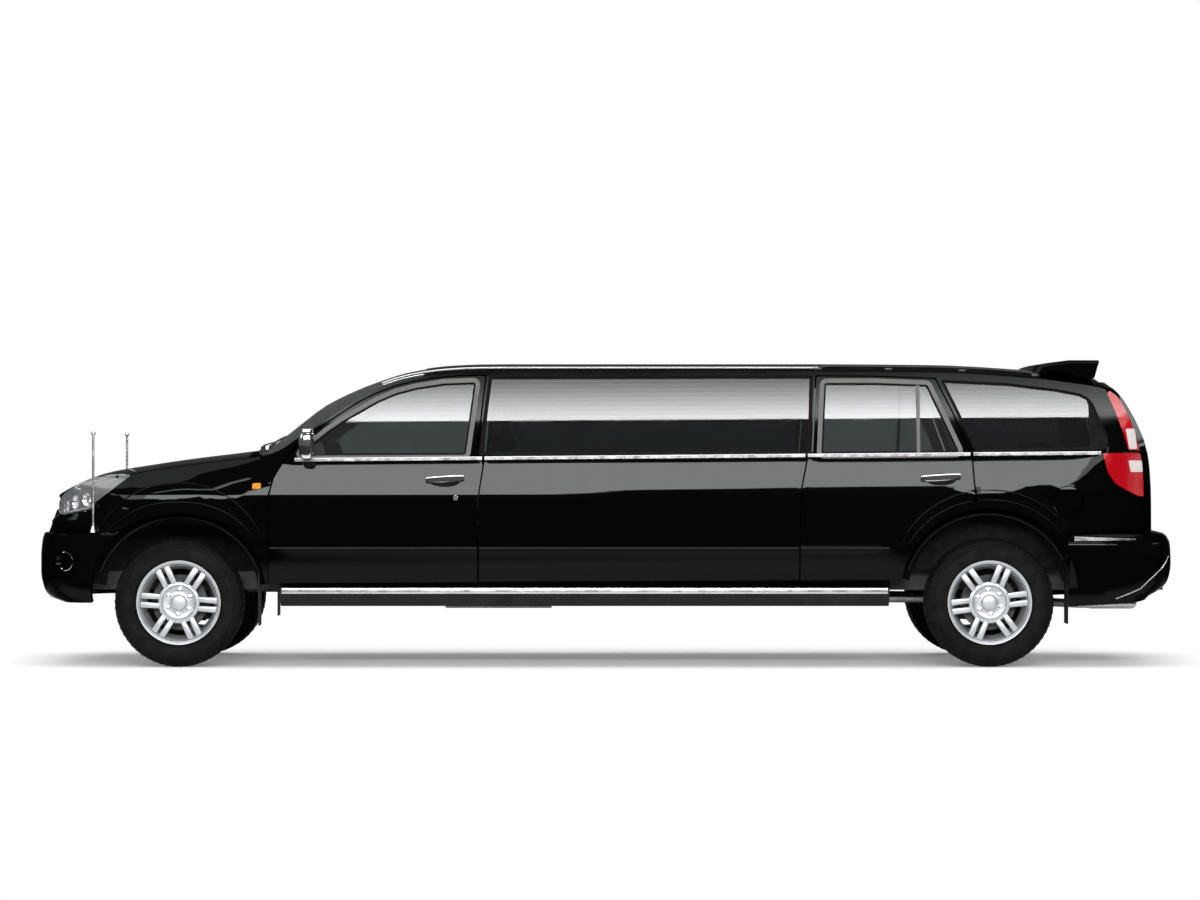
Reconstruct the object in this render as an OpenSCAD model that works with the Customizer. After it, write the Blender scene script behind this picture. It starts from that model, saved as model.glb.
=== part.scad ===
// Stretch limousine on a sport-utility body, in millimetres.
// The origin is on the ground under the middle of the car; the front faces -X and the left side is -Y.

/* [Overall] */
// Distance between the axles
wheelbase = 4630; // [4300:10:5000]
// From the front of the bumper to the front axle
front_overhang = 865; // [850:5:880]
// From the rear axle to the back of the bumper
rear_overhang = 1105; // [1090:5:1130]
// Half of the body's width at the crease of its side
half_w = 893; // [885:1:900]
// Height of the roof at its middle
roof_z = 1746; // [1735:1:1760]
// Height of the bottom of the doors
sill_z = 470; // [466:1:476]
// From the crease along the side up to the roof, at the middle of the car
crease_drop = 761; // [750:1:775]
// From the belt line under the windows up to the roof, at the middle of the car
belt_drop = 556; // [545:1:565]

/* [Walls] */
// Thickness of the doors and body sides
side_t = 70; // [60:1:80]
// Thickness of the outer skin of a door, ahead of its stepped edge
skin_t = 25; // [20:1:30]
// How far a door's inner shell steps in from the edge of its skin
step_in = 18; // [12:1:24]
// Thickness of the roof
roof_t = 42; // [35:1:50]
// Thickness of the bonnet
hood_t = 26; // [20:1:32]
// Thickness of the front wings
wing_t = 40; // [34:1:46]
// Thickness of the bumper covers
bumper_t = 22; // [18:1:28]
// Gap between a door, bonnet or tailgate and its opening
shut_gap = 9; // [8:0.5:10]
// Thickness of the window glass
glass_t = 5; // [4:0.5:7]
// Clearance between fixed panels that meet
seam = 0.3; // [0.2:0.1:0.6]

/* [Wheels] */
// Outer diameter of the tyres
tyre_d = 737; // [720:1:745]
// Width of the tyres
tyre_w = 235; // [225:1:245]
// Diameter of the rim at its flange
rim_d = 490; // [470:1:500]
// Distance between the middles of the wheels on one axle
track = 1524; // [1510:1:1536]
// Number of paired spokes in a wheel
spoke_pairs = 6; // [5:1:7]
// Width of one bar of a paired spoke
spoke_w = 26; // [22:1:30]
// Middle to middle of the two bars of a spoke
spoke_gap = 46; // [42:1:50]
// Number of wheel nuts
nut_count = 6; // [5:1:6]
// Pitch circle of the wheel nuts
nut_pcd = 139.7; // [130:0.1:145]
// Distance from the middle of the wheel in to its steering axis
kingpin_in = 62; // [55:1:70]

/* [Lamps and trim] */
// Radius of the fuel flap
flap_r = 82; // [70:1:90]
// Height of the flag poles
flag_pole_h = 580; // [500:5:650]
// Diameter of a flag pole
flag_pole_d = 14; // [10:1:18]
// Number of bars in the radiator grille
grille_bars = 5; // [4:1:7]
// Height of a running board
board_h = 108; // [95:1:115]
// How far the wheel arch flares stand out from the side
flare_out = 14; // [10:1:18]

/* [Hidden] */
$fn = 48;
paint = "#1b1d1c";
trim = "#161616";
silver = "#c9ccd0";
steel = "#3c3f42";
rubber = "#1a1a1a";
dark_glass = "#3a4242";
red_lens = "#b3132b";
leather = "#4a4038";

// Places along the car, from the front and rear axles
nose_x = -(front_overhang + wheelbase + rear_overhang) / 2;
fa = nose_x + front_overhang;
ra = fa + wheelbase;
tail_x = ra + rear_overhang;
wheel_z = tyre_d / 2;
crease_z = roof_z - crease_drop;
belt_z = roof_z - belt_drop;
crease_rise = 0.012;
belt_rise = 0.0085;
shoulder = 33;
lean = 0.355;
big = 4000;

// The height of the body along its middle line, as x and z
top_line = concat([for (p = [[-765, -816], [-730, -756], [-665, -711], [-576, -669], [-468, -633],
        [-239, -594], [17, -556], [271, -525], [395, -510], [445, -506], [513, -460], [655, -346],
        [796, -239], [935, -168], [1079, -109], [1305, -40], [1530, -9], [1735, -1], [1900, 0]])
        [fa + p[0], roof_z + p[1]]],
    [for (p = [[-995, 0], [-287, -5], [261, -34], [505, -56], [629, -74], [718, -101], [765, -136],
        [830, -242], [895, -395], [938, -535], [965, -712], [985, -990]])
        [ra + p[0], roof_z + p[1]]]);

// The height of the upper edge of the body side: bonnet gap, windscreen pillar, roof gutter, tail
edge_line = concat([for (p = [[-765, -846], [-730, -796], [-665, -756], [-576, -724], [-468, -691],
        [-270, -641], [-65, -606], [335, -556], [445, -542], [535, -524], [585, -501], [690, -428],
        [815, -348], [1017, -214], [1236, -116], [1454, -72], [1672, -56], [1900, -54]])
        [fa + p[0], roof_z + p[1]]],
    [for (p = [[-995, -54], [-287, -60], [261, -94], [505, -124], [629, -144], [718, -171], [765, -206],
        [830, -306], [895, -446], [938, -576], [965, -746], [985, -1010]])
        [ra + p[0], roof_z + p[1]]]);

// Half of the plan outline of the body, as y and the distance in from the bumper's end.
// It is drawn for a body of this half width, and is stretched to the set one.
drawn_half = 893;
function wide(y) = y * half_w / drawn_half;
nose_plan = [[0, 108], [300, 116], [480, 135], [620, 172], [710, 216], [780, 285], [830, 370], [868, 470],
    [893, 620], [940, 1100]];
tail_plan = [[0, 112], [300, 120], [500, 136], [620, 160], [700, 200], [765, 262], [820, 345], [862, 455],
    [893, 600], [940, 1100]];

// Smooth, never overshooting curve through a table of points
function span_at(t, x, i = 0) = (i >= len(t) - 2 || x < t[i + 1][0]) ? i : span_at(t, x, i + 1);
function rise(t, i) = (t[i + 1][1] - t[i][1]) / (t[i + 1][0] - t[i][0]);
function slope(t, i) = i <= 0 ? rise(t, 0) : i >= len(t) - 1 ? rise(t, i - 1)
    : let (a = rise(t, i - 1), b = rise(t, i)) a * b <= 0 ? 0 : 2 * a * b / (a + b);
function curve(t, x) = let (i = span_at(t, x), h = t[i + 1][0] - t[i][0],
    s = min(1, max(0, (x - t[i][0]) / h)), a = slope(t, i) * h, b = slope(t, i + 1) * h)
    t[i][1] * (1 + 2 * s) * (1 - s) * (1 - s) + a * s * (1 - s) * (1 - s)
    + t[i + 1][1] * s * s * (3 - 2 * s) - b * s * s * (1 - s);
function ease(x, a, b) = let (s = min(1, max(0, (x - a) / (b - a)))) s * s * (3 - 2 * s);

// The side surface: y of the outer skin at a place and height
function edge_z(x) = curve(edge_line, x);
function top_z(x) = curve(top_line, x);
function crease(x) = min(crease_z + crease_rise * x, edge_z(x) - 110);
function belt(x) = min(belt_z + belt_rise * x, edge_z(x) - 40);
function lower_y(x, z) = let (s = (crease(x) - z) / (crease_z - sill_z))
    half_w - 18 * s - 4 * s * s - 28 * pow(max(s, 0), 6);
function cabin_y(x, z) = let (c = crease(x), b = belt(x), s = (z - c) / (b - c), g = z - b)
    z <= b ? half_w - shoulder * pow(max(s, 0), 1.15) : half_w - shoulder - lean * g - 0.00004 * g * g;
wing_edge_y = half_w - 98;
function wing_y(x, z) = let (c = crease(x), s = (z - c) / (edge_z(x) - c))
    half_w - (half_w - wing_edge_y) * pow(max(s, 0), 1.7);
function side_y(x, z) = z <= crease(x) ? lower_y(x, z)
    : let (w = ease(x, fa + 380, fa + 600)) w * cabin_y(x, z) + (1 - w) * wing_y(x, z);

// Half of a cross-section at x, set in by t on the side and t_top under the roof
function half_section(x, t, t_top) = let (ze = edge_z(x), zc = crease(x), zb = belt(x), ye = side_y(x, ze) - t,
    zt = top_z(x), up = zt - ze, low = sill_z - (t > 0 ? 90 : 30))
    concat([[lower_y(x, sill_z) - 34 - t, low]],
    [for (z = [sill_z, sill_z + 80, sill_z + 200, sill_z + 340, zc, (zc + zb) / 2, zb,
        zb + (ze - zb) * 0.33, zb + (ze - zb) * 0.66, ze - 22])
        [side_y(x, min(z, ze - 22)) - t, min(z, ze - 22 - t_top)]],
    [for (s = [0.985, 0.93, 0.78, 0.5, 0.22]) [ye * s, ze + up * (1 - pow(s, 2.2)) - t_top - (s > 0.95 ? 5 : 0)]]);
function section(x, t, t_top) = let (h = half_section(x, t, t_top))
    concat([for (p = h) [x, p[0], p[1]]], [for (i = [len(h) - 1:-1:0]) [x, -h[i][0], h[i][1]]]);

// Cross-sections are taken at these places, closer together where the body curves
stations = concat([for (u = [-765, -745, -730, -700, -665, -620, -576, -468, -350, -239, -110, 17, 150, 271, 395,
        445, 513, 585, 655, 725, 796, 935, 1079, 1190, 1305, 1420, 1530, 1735]) fa + u],
    [for (i = [1:4]) fa + 1735 + (ra - 995 - fa - 1735) * i / 5],
    [for (v = [-995, -640, -287, 0, 261, 400, 505, 629, 718, 765, 830, 865, 895, 938, 965, 985]) ra + v]);

module span(a, b) {
    n = len(a);
    hull() polyhedron(points = concat(a, b), faces = [[for (i = [0:n - 1]) i], [for (i = [0:n - 1]) n + i]]);
}
module loft(x0, x1, t = 0, t_top = 0, shift = 0) {
    a = max(x0, stations[0]);
    b = min(x1, stations[len(stations) - 1]);
    xs = concat([a], [for (x = stations) if (x > a + 5 && x < b - 5) x], [b]);
    translate([shift, 0, 0])
    for (i = [0:len(xs) - 2]) span(section(xs[i], t, t_top), section(xs[i + 1], t, t_top));
}

// The plan outline of the whole body, set in by t
plan_ys = [0, 150, 300, 420, 520, 620, 700, 765, 820, 862, 893];
module plan_prism(t = 0) {
    front = [for (y = plan_ys) [nose_x + curve(nose_plan, y) + t, wide(y) * (1 - t / half_w)]];
    rear = [for (i = [len(plan_ys) - 1:-1:0]) [tail_x - curve(tail_plan, plan_ys[i]) - t, wide(plan_ys[i]) * (1 - t / half_w)]];
    n = len(plan_ys) - 1;
    right = concat([for (i = [0:n - 1]) front[i]], [[front[n][0], half_w + 40], [rear[0][0], half_w + 40]],
        [for (i = [1:n]) rear[i]]);
    linear_extrude(2000) polygon(concat(right, [for (i = [len(right) - 1:-1:0]) [right[i][0], -right[i][1]]]));
}

// The body's whole form from x0 to x1, set in by t; pull moves its rear face forward too
module form(x0, x1, t = 0, t_top = 0, pull = 0) {
    intersection() {
        loft(x0, x1, t, t_top);
        if (pull != 0) loft(x0, x1 + 200, t, t_top, -pull);
        plan_prism(t);
    }
}
// A wall of the body between two insets
module wall(x0, x1, t_in, top_in, t_out = 0, top_out = 0, pull_in = 0, pull_out = 0) {
    difference() {
        form(x0, x1, t_out, top_out, pull_out);
        form(x0 - 20, x1 + 20, t_in, top_in, pull_in);
    }
}

// A side-view outline pushed through the right side of the body, and the mirror image of a piece
module side_prism(y0 = 20, y1 = 1100) {
    translate([0, y1, 0]) rotate([90, 0, 0]) linear_extrude(y1 - y0) children();
}
module on_side(s) {
    mirror([0, s < 0 ? 1 : 0, 0]) children();
}
module both_sides() {
    children();
    mirror([0, 1, 0]) children();
}

// Outlines in side view
door_f0 = fa + 515;
door_f1 = fa + 1710;
door_r0 = ra - 1085;
door_r1 = ra - 83;
front_door_line = [[door_f0 - 4, sill_z], [door_f0, crease_z], [door_f0 + 28, crease_z + 100], [door_f0 + 88, belt_z - 8],
    [fa + 632, belt_z + 30], [fa + 690, roof_z - 450], [fa + 815, roof_z - 366], [fa + 1017, roof_z - 232],
    [fa + 1125, roof_z - 178], [fa + 1236, roof_z - 136], [fa + 1345, roof_z - 109], [fa + 1454, roof_z - 92],
    [fa + 1590, roof_z - 80], [fa + 1750, roof_z - 76], [fa + 1700, belt_z + 10], [door_f1 + 32, belt_z - 20],
    [door_f1, crease_z - 20], [door_f1 - 3, sill_z]];
front_window_line = [[fa + 675, belt_z + 17], [fa + 845, roof_z - 398], [fa + 940, roof_z - 334], [fa + 1127, roof_z - 225],
    [fa + 1235, roof_z - 179], [fa + 1345, roof_z - 149], [fa + 1508, roof_z - 123], [fa + 1694, roof_z - 116],
    [fa + 1639, belt_z + 22]];
centre_window_line = [[fa + 1768, roof_z - 80], [ra - 1000, roof_z - 76], [ra - 1019, belt_z + 20], [fa + 1712, belt_z + 20]];
rear_door_line = [[door_r0, sill_z], [door_r0 + 5, crease_z + 10], [door_r0 + 44, belt_z], [ra - 1013, belt_z + 18],
    [ra - 984, roof_z - 80], [ra - 640, roof_z - 82], [ra - 298, roof_z - 94], [ra - 200, roof_z - 300],
    [ra - 111, belt_z + 32], [ra - 100, belt_z + 10], [ra - 89, crease_z + 60], [door_r1, crease_z + 20],
    [door_r1, sill_z]];
rear_window_line = [[ra - 936, roof_z - 120], [ra - 640, roof_z - 120], [ra - 344, roof_z - 131], [ra - 170, belt_z + 34],
    [ra - 962, belt_z + 27]];
quarter_window_line = [[ra - 270, roof_z - 102], [ra + 120, roof_z - 122], [ra + 400, roof_z - 156], [ra + 528, roof_z - 181],
    [ra + 575, roof_z - 206], [ra + 603, roof_z - 242], [ra + 650, roof_z - 360], [ra + 676, roof_z - 421],
    [ra + 681, roof_z - 458], [ra + 668, roof_z - 494], [ra + 640, belt_z + 52], [ra - 80, belt_z + 38]];
headlamp_line = [[nose_x + 85, roof_z - 877], [fa - 668, roof_z - 877], [fa - 600, roof_z - 864], [fa - 530, roof_z - 852],
    [fa - 502, roof_z - 842], [fa - 470, roof_z - 800], [fa - 379, roof_z - 732], [fa - 300, roof_z - 668], [fa - 276, roof_z - 650],
    [fa - 320, roof_z - 642], [fa - 400, roof_z - 646], [fa - 480, roof_z - 658], [fa - 560, roof_z - 688],
    [fa - 640, roof_z - 735], [fa - 730, roof_z - 810], [nose_x + 85, roof_z - 835]];
tail_lamp_upper = [[ra + 680, roof_z - 172], [ra + 698, roof_z - 162], [ra + 990, roof_z - 162], [ra + 990, roof_z - 509],
    [ra + 801, roof_z - 509], [ra + 731, roof_z - 306]];
tail_lamp_lower = [[ra + 640, roof_z - 522], [ra + 990, roof_z - 522], [ra + 990, roof_z - 776], [ra + 865, roof_z - 774],
    [ra + 795, roof_z - 742], [ra + 718, roof_z - 700], [ra + 674, roof_z - 637]];

// The wheel openings and their flares: flattened circles round each wheel
function arch(cx, cz, a, b, n, lowest) = concat([[cx - a, lowest]],
    [for (i = [0:20]) let (q = 180 - i * 9)
        [cx + a * sign(round(cos(q) * 1000)) * pow(abs(cos(q)), 2 / n), cz + b * pow(abs(sin(q)), 2 / n)]],
    [[cx + a, lowest]]);
front_arch = arch(fa, wheel_z, 500, 508, 2.35, 200);
rear_arch = arch(ra - 6, wheel_z + 20, 508, 520, 2.1, 200);
front_flare = arch(fa, wheel_z, 560, 690, 2.15, 200);
front_ridge = arch(fa, wheel_z, 535, 580, 2.25, 200);
rear_flare = arch(ra - 6, wheel_z + 20, 580, 628, 2.1, 200);
rear_ridge = arch(ra - 6, wheel_z + 20, 545, 572, 2.1, 200);
flare_foot = sill_z + 4;
bumper_back = ra + 445;
bumper_split = roof_z - 843;
shelf_z = roof_z - 977;

// A wheel arch flare stands out from the side in two steps, between two places along the car
module flare(outer, ridge, opening, x0, x1) {
    intersection() {
        union() {
            intersection() {
                wall(x0 - 10, x1 + 10, wing_t - 6, 30, -flare_out * 0.55, 0);
                side_prism() polygon(outer);
            }
            intersection() {
                wall(x0 - 10, x1 + 10, wing_t - 6, 30, -flare_out, 0);
                side_prism() polygon(ridge);
            }
        }
        side_prism() difference() {
            translate([x0, flare_foot]) square([x1 - x0, 700]);
            polygon(opening);
        }
    }
}
module above_edge(x0, x1, drop) {
    side_prism(-1100) polygon(concat([[x0, edge_z(x0) + drop]],
        [for (x = stations) if (x > x0 + 1 && x < x1 - 1) [x, edge_z(x) + drop]],
        [[x1, edge_z(x1) + drop], [x1, roof_z + 100], [x0, roof_z + 100]]));
}
module below_edge(x0, x1, drop) {
    side_prism(-30) polygon(concat([[x0, edge_z(x0) - drop]],
        [for (x = stations) if (x > x0 + 1 && x < x1 - 1) [x, edge_z(x) - drop]],
        [[x1, edge_z(x1) - drop], [x1, 0], [x0, 0]]));
}

// A hinge: short barrels on one upright pin line, shared out between the fixed side and the door
barrel_r = 4;
hinge_in = 6;
module barrels(x, y, zs, len) {
    for (z = zs) translate([x, y, z]) cylinder(r = barrel_r, h = len, $fn = 16);
}
hinge_zs = [crease_z - 134, crease_z - 66];
hinge_y = half_w - hinge_in;
barrel_len = 20;
// Fixed knuckles sit above and below the door's own one
module fixed_knuckles(x) {
    for (z = hinge_zs) for (k = [0, 2]) translate([0, 0, z + k * (barrel_len + seam)]) {
        translate([x, hinge_y, 0]) cylinder(r = barrel_r, h = barrel_len, $fn = 16);
        translate([x - shut_gap - 8, hinge_y - barrel_r + 0.5, 0]) cube([shut_gap + 8, 2 * barrel_r - 1, barrel_len]);
    }
}
module knuckle_room(x) {
    for (z = hinge_zs) for (k = [0, 2]) translate([x - 20, hinge_y - barrel_r - 2, z + k * (barrel_len + seam) - seam])
        cube([20 + barrel_r + 2, 60, barrel_len + 2 * seam]);
}
module door_knuckle(x) {
    for (z = hinge_zs) translate([x, hinge_y, z + barrel_len + seam]) cylinder(r = barrel_r, h = barrel_len, $fn = 16);
}
hinge_f = door_f0 + shut_gap / 2;
hinge_r = door_r0 + 5 + shut_gap / 2;

// Body sides, each one pressing from the windscreen pillar to the tail
side_x1 = ra + 985;
rear_corner = 203;
tailgate_half = half_w - rear_corner;
tailgate_x = ra + 680;
tailgate_low = roof_z - 971;
tailgate_top = roof_z - 112;
module tailgate_area(grow = 0) {
    translate([tailgate_x - grow, 0, 0]) rotate([90, 0, 90]) linear_extrude(600) offset(delta = grow)
    polygon([[-tailgate_half, tailgate_low], [tailgate_half, tailgate_low], [tailgate_half, roof_z - 480],
        [tailgate_half - 22, roof_z - 330], [tailgate_half - 60, roof_z - 160], [tailgate_half - 90, tailgate_top],
        [90 - tailgate_half, tailgate_top], [60 - tailgate_half, roof_z - 160], [22 - tailgate_half, roof_z - 330],
        [-tailgate_half, roof_z - 480]]);
}
flap_x = ra + 445;
flap_z = crease_z - 35;
flap_room = 5;
flap_t = 10;
flap_y = side_y(flap_x, flap_z);
module side_cuts() {
    side_prism() offset(delta = shut_gap / 2) polygon(front_door_line);
    side_prism() intersection() {
        translate([4, 0]) offset(delta = shut_gap / 2) polygon(front_door_line);
        translate([fa + 1600, belt_z]) square([400, 600]);
    }
    side_prism() offset(delta = shut_gap / 2) polygon(rear_door_line);
    side_prism() polygon(centre_window_line);
    side_prism() polygon(quarter_window_line);
    side_prism() polygon(rear_arch);
    side_prism() offset(delta = seam) polygon(tail_lamp_upper);
    side_prism() offset(delta = seam) polygon(tail_lamp_lower);
}
pillar_x0 = door_f0 - 70;
cant_y = half_w - 293;
wing_in_y = half_w - 203;
// In plan, the inner limit of the side panels follows the roof's edge
module outboard() {
    xs = concat([for (x = stations) if (x > fa + 300 && x < ra + 500) x], []);
    linear_extrude(2000) polygon(concat([[nose_x, cant_y], [xs[0] - 1, cant_y]],
        [for (x = xs) [x, side_y(x, edge_z(x)) - side_t - 4]],
        [[xs[len(xs) - 1] + 1, cant_y], [tail_x, cant_y], [tail_x, 1100], [nose_x, 1100]]));
}
module body_side(s) {
    color(paint) on_side(s) {
        difference() {
            union() {
                intersection() {
                    wall(pillar_x0, side_x1, side_t, roof_t + 30, 0, 0, side_t);
                    below_edge(pillar_x0, side_x1, seam);
                    outboard();
                    side_prism(cant_y) polygon([[door_f0 + 2, sill_z - 30], [door_f0 + 2, sill_z - 6], [door_f0 + 150, sill_z - 6],
                        [door_f0 + 150, belt_z + seam], [door_f0 + 45, belt_z + seam], [pillar_x0 + 5, belt_z + 30],
                        [pillar_x0 + 5, roof_z], [side_x1, roof_z], [side_x1, tailgate_low], [bumper_back - seam, tailgate_low],
                        [bumper_back - seam, 400], [ra, 400], [ra - 440, sill_z - 30]]);
                }
                flare(rear_flare, rear_ridge, rear_arch, door_r1 + shut_gap / 2, bumper_back - seam);
            }
            side_cuts();
            tailgate_area(shut_gap);
            if (s < 0) {
                translate([flap_x, flap_y - 42, flap_z]) rotate([-90, 0, 0]) cylinder(r = flap_r + flap_room, h = 200);
                translate([flap_hinge_x - 5, flap_hinge_y - 6, flap_z - 11.95]) cube([20, 20, 23.9]);
            }
        }
        fixed_knuckles(hinge_r);
        if (s < 0) for (k = [-1, 1]) translate([flap_hinge_x, flap_hinge_y, flap_z + k * 18 - 6]) {
            cylinder(r = 4, h = 12, $fn = 16);
            translate([-6, -6, 0]) cube([9, 6, 12]);
        }
    }
}
flap_hinge_x = flap_x - flap_r - 8;
flap_hinge_y = flap_y + 3;
module fuel_flap() {
    color(paint) on_side(-1) {
        difference() {
            intersection() {
                wall(flap_x - 150, flap_x + 150, flap_t, flap_t);
                translate([flap_x, 500, flap_z]) rotate([-90, 0, 0]) cylinder(r = flap_r, h = 600);
            }
        }
        translate([flap_hinge_x, flap_hinge_y, flap_z - 11.7]) cylinder(r = 4, h = 23.4, $fn = 16);
        translate([flap_hinge_x, flap_hinge_y - 1, flap_z - 11.7]) cube([18, 4, 23.4]);
        translate([flap_hinge_x + 9, flap_hinge_y - 7, flap_z - 11.7]) cube([9, 9, 23.4]);
    }
}
wing_x0 = fa - 660;
module front_wing(s) {
    color(paint) on_side(s) {
        difference() {
            union() {
                intersection() {
                    wall(wing_x0, door_f0 + 100, wing_t, 60);
                    below_edge(wing_x0, door_f0 + 100, shut_gap / 2);
                    side_prism(wing_in_y) polygon([[wing_x0, bumper_split], [fa - 275, bumper_split], [fa - 275, flare_foot],
                        [door_f0 + 200, flare_foot], [door_f0 + 200, belt_z], [door_f0 + 45, belt_z],
                        [pillar_x0 + 5 - seam, belt_z + 27], [pillar_x0 + 5 - seam, roof_z - 500], [wing_x0, roof_z - 500]]);
                }
                flare(front_flare, front_ridge, front_arch, fa - 275, door_f0 + 100);
            }
            side_prism() polygon(front_arch);
            side_prism() offset(delta = seam) polygon(headlamp_line);
            side_prism() offset(delta = shut_gap / 2) polygon(front_door_line);
            translate([bonnet_hinge_x - 25, wing_in_y - 1, bonnet_hinge_z - 9]) cube([55, 66, 60]);
        }
        fixed_knuckles(hinge_f);
    }
}
header_x = fa + 1390;
module roof() {
    color(paint) difference() {
        intersection() {
            wall(header_x, ra + 800, side_t, roof_t);
            above_edge(header_x, ra + 760, 0);
        }
        tailgate_area(shut_gap);
        both_sides() side_prism() offset(delta = seam) polygon(tail_lamp_upper);
    }
}

// Doors: an outer skin and a smaller inner shell, with the window cut through both
module door_shell(line, window, x0, x1) {
    difference() {
        intersection() {
            union() {
                intersection() {
                    wall(x0, x1, skin_t, skin_t + 10);
                    side_prism() offset(delta = -shut_gap / 2) polygon(line);
                }
                intersection() {
                    wall(x0, x1, side_t, side_t, skin_t - 1, skin_t - 1);
                    side_prism() offset(delta = -shut_gap / 2 - step_in) polygon(line);
                }
            }
            outboard();
        }
        side_prism() polygon(window);
    }
}
module handle(x, z, drop) {
    y = side_y(x, z);
    translate([x, y, z]) rotate([0, drop, 0]) {
        hull() for (p = [[-92, 24, 4, 11], [92, 24, 12, 11], [84, 22, -14, 9], [-86, 22, -12, 8]])
            translate([p[0], p[1], p[2]]) sphere(r = p[3], $fn = 16);
        for (k = [-1, 1]) translate([k * 84 - 9, -14, -8]) cube([18, 38, 18]);
    }
}
module door_front(s) {
    color(paint) on_side(s) {
        difference() {
            door_shell(front_door_line, front_window_line, door_f0 - 20, fa + 1760);
            knuckle_room(hinge_f);
        }
        door_knuckle(hinge_f);
        handle(fa + 1522, crease_z + 78, -3);
    }
}
module door_rear(s) {
    color(paint) on_side(s) {
        difference() {
            union() {
                door_shell(rear_door_line, rear_window_line, door_r0 - 20, door_r1 + 20);
                flare(rear_flare, rear_ridge, rear_arch, ra - 600, door_r1 - shut_gap / 2);
            }
            side_prism() polygon(rear_arch);
            knuckle_room(hinge_r);
        }
        door_knuckle(hinge_r);
        handle(ra - 284, crease_z + 88, -3);
    }
}
// Glass lies inside its opening, a step below the body's outer surface
glass_in = 10;
module pane(line, x0, x1) {
    intersection() {
        wall(x0, x1, glass_in + glass_t, glass_in + glass_t + 20, glass_in, glass_in);
        side_prism() offset(delta = -seam) polygon(line);
    }
}
module door_glass_front(s) {
    color(dark_glass) on_side(s) pane(front_window_line, fa + 600, fa + 1720);
}
module door_glass_rear(s) {
    color(dark_glass) on_side(s) pane(rear_window_line, ra - 1000, ra - 150);
}
module side_glass(s) {
    color(dark_glass) on_side(s) {
        pane(centre_window_line, fa + 1680, ra - 980);
        pane(quarter_window_line, ra - 300, ra + 700);
    }
}
glass_foot = roof_z - 503;
module windscreen() {
    color(dark_glass) intersection() {
        wall(fa + 440, header_x - seam, 60, 12, 2, 4);
        above_edge(fa + 440, header_x - seam, seam);
        translate([fa + 400, -900, glass_foot]) cube([header_x - seam - fa - 400, 1800, 600]);
    }
}
// The panel under the windscreen, lower than the bonnet's swing
cowl_z = glass_foot - 48;
firewall_x = fa + 475;
module cowl() {
    color(trim) {
        translate([fa + 410, seam - wing_in_y, cowl_z - 16]) cube([firewall_x - seam - fa - 410, 2 * (wing_in_y - seam), 12]);
        difference() {
            translate([fa + 447, seam - wing_in_y, cowl_z - 12]) cube([18, 2 * (wing_in_y - seam), 200]);
            translate([fa + 400, -half_w, glass_foot - seam]) cube([200, 2 * half_w, 300]);
        }
        both_sides() for (k = [0, 2]) bonnet_knuckle(k);
    }
}
// Bonnet hinge barrels lie across the car under its rear edge
bonnet_hinge_x = fa + 384;
bonnet_hinge_z = cowl_z - 3;
bonnet_hinge_y = half_w - 293;
module bonnet_knuckle(k) {
    translate([bonnet_hinge_x, bonnet_hinge_y + k * (barrel_len + seam), bonnet_hinge_z]) {
        rotate([-90, 0, 0]) cylinder(r = 7, h = barrel_len, $fn = 20);
        if (k != 1) translate([0, 0, -10]) cube([fa + 420 - bonnet_hinge_x, barrel_len, 5]);
    }
}
module bonnet() {
    color(paint) {
        difference() {
            intersection() {
                wall(fa - 760, fa + 392, hood_t + 10, hood_t);
                above_edge(fa - 760, fa + 392, shut_gap / 2);
            }
            both_sides() side_prism(380) offset(delta = 5) polygon(headlamp_line);
        }
        both_sides() {
            bonnet_knuckle(1);
            translate([bonnet_hinge_x - 5, bonnet_hinge_y + barrel_len + seam, bonnet_hinge_z + 2]) cube([10, barrel_len, top_z(bonnet_hinge_x) - hood_t - bonnet_hinge_z + 2]);
        }
    }
}
module headlamps() {
    color(silver) both_sides() difference() {
        intersection() {
            wall(fa - 764, fa - 240, 75, 95, 3, 3);
            side_prism(400) polygon(headlamp_line);
        }
        translate([nose_x, 0, 0]) cube([60, 1000, 2000]);
    }
}
// The radiator grille, a chrome frame with bars, in the opening of the bumper
grille_w = 390;
grille_low = roof_z - 1040;
grille_top = roof_z - 852;
grille_x = nose_x + 112;
module grille_face(edge) {
    polygon([[edge - grille_w, grille_top], [grille_w - edge, grille_top], [grille_w - 60 - edge, grille_low + edge],
        [60 + edge - grille_w, grille_low + edge]]);
}
module grille() {
    bar_pitch = (grille_top - grille_low) / (grille_bars + 1);
    color(silver) intersection() {
        translate([nose_x, 0, 0]) rotate([90, 0, 90]) linear_extrude(400) {
            difference() {
                grille_face(0);
                translate([0, -24]) grille_face(30);
            }
            intersection() {
                grille_face(5);
                for (i = [1:grille_bars]) translate([-grille_w, grille_low + bar_pitch * i - 6]) square([2 * grille_w, 13]);
            }
        }
        side_trim([[nose_x + 42, grille_low - 1], [nose_x + 62, shelf_z], [nose_x + 112, grille_top + 1], [nose_x + 142, grille_top + 1],
            [nose_x + 142, grille_low - 1]]);
    }
}
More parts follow.
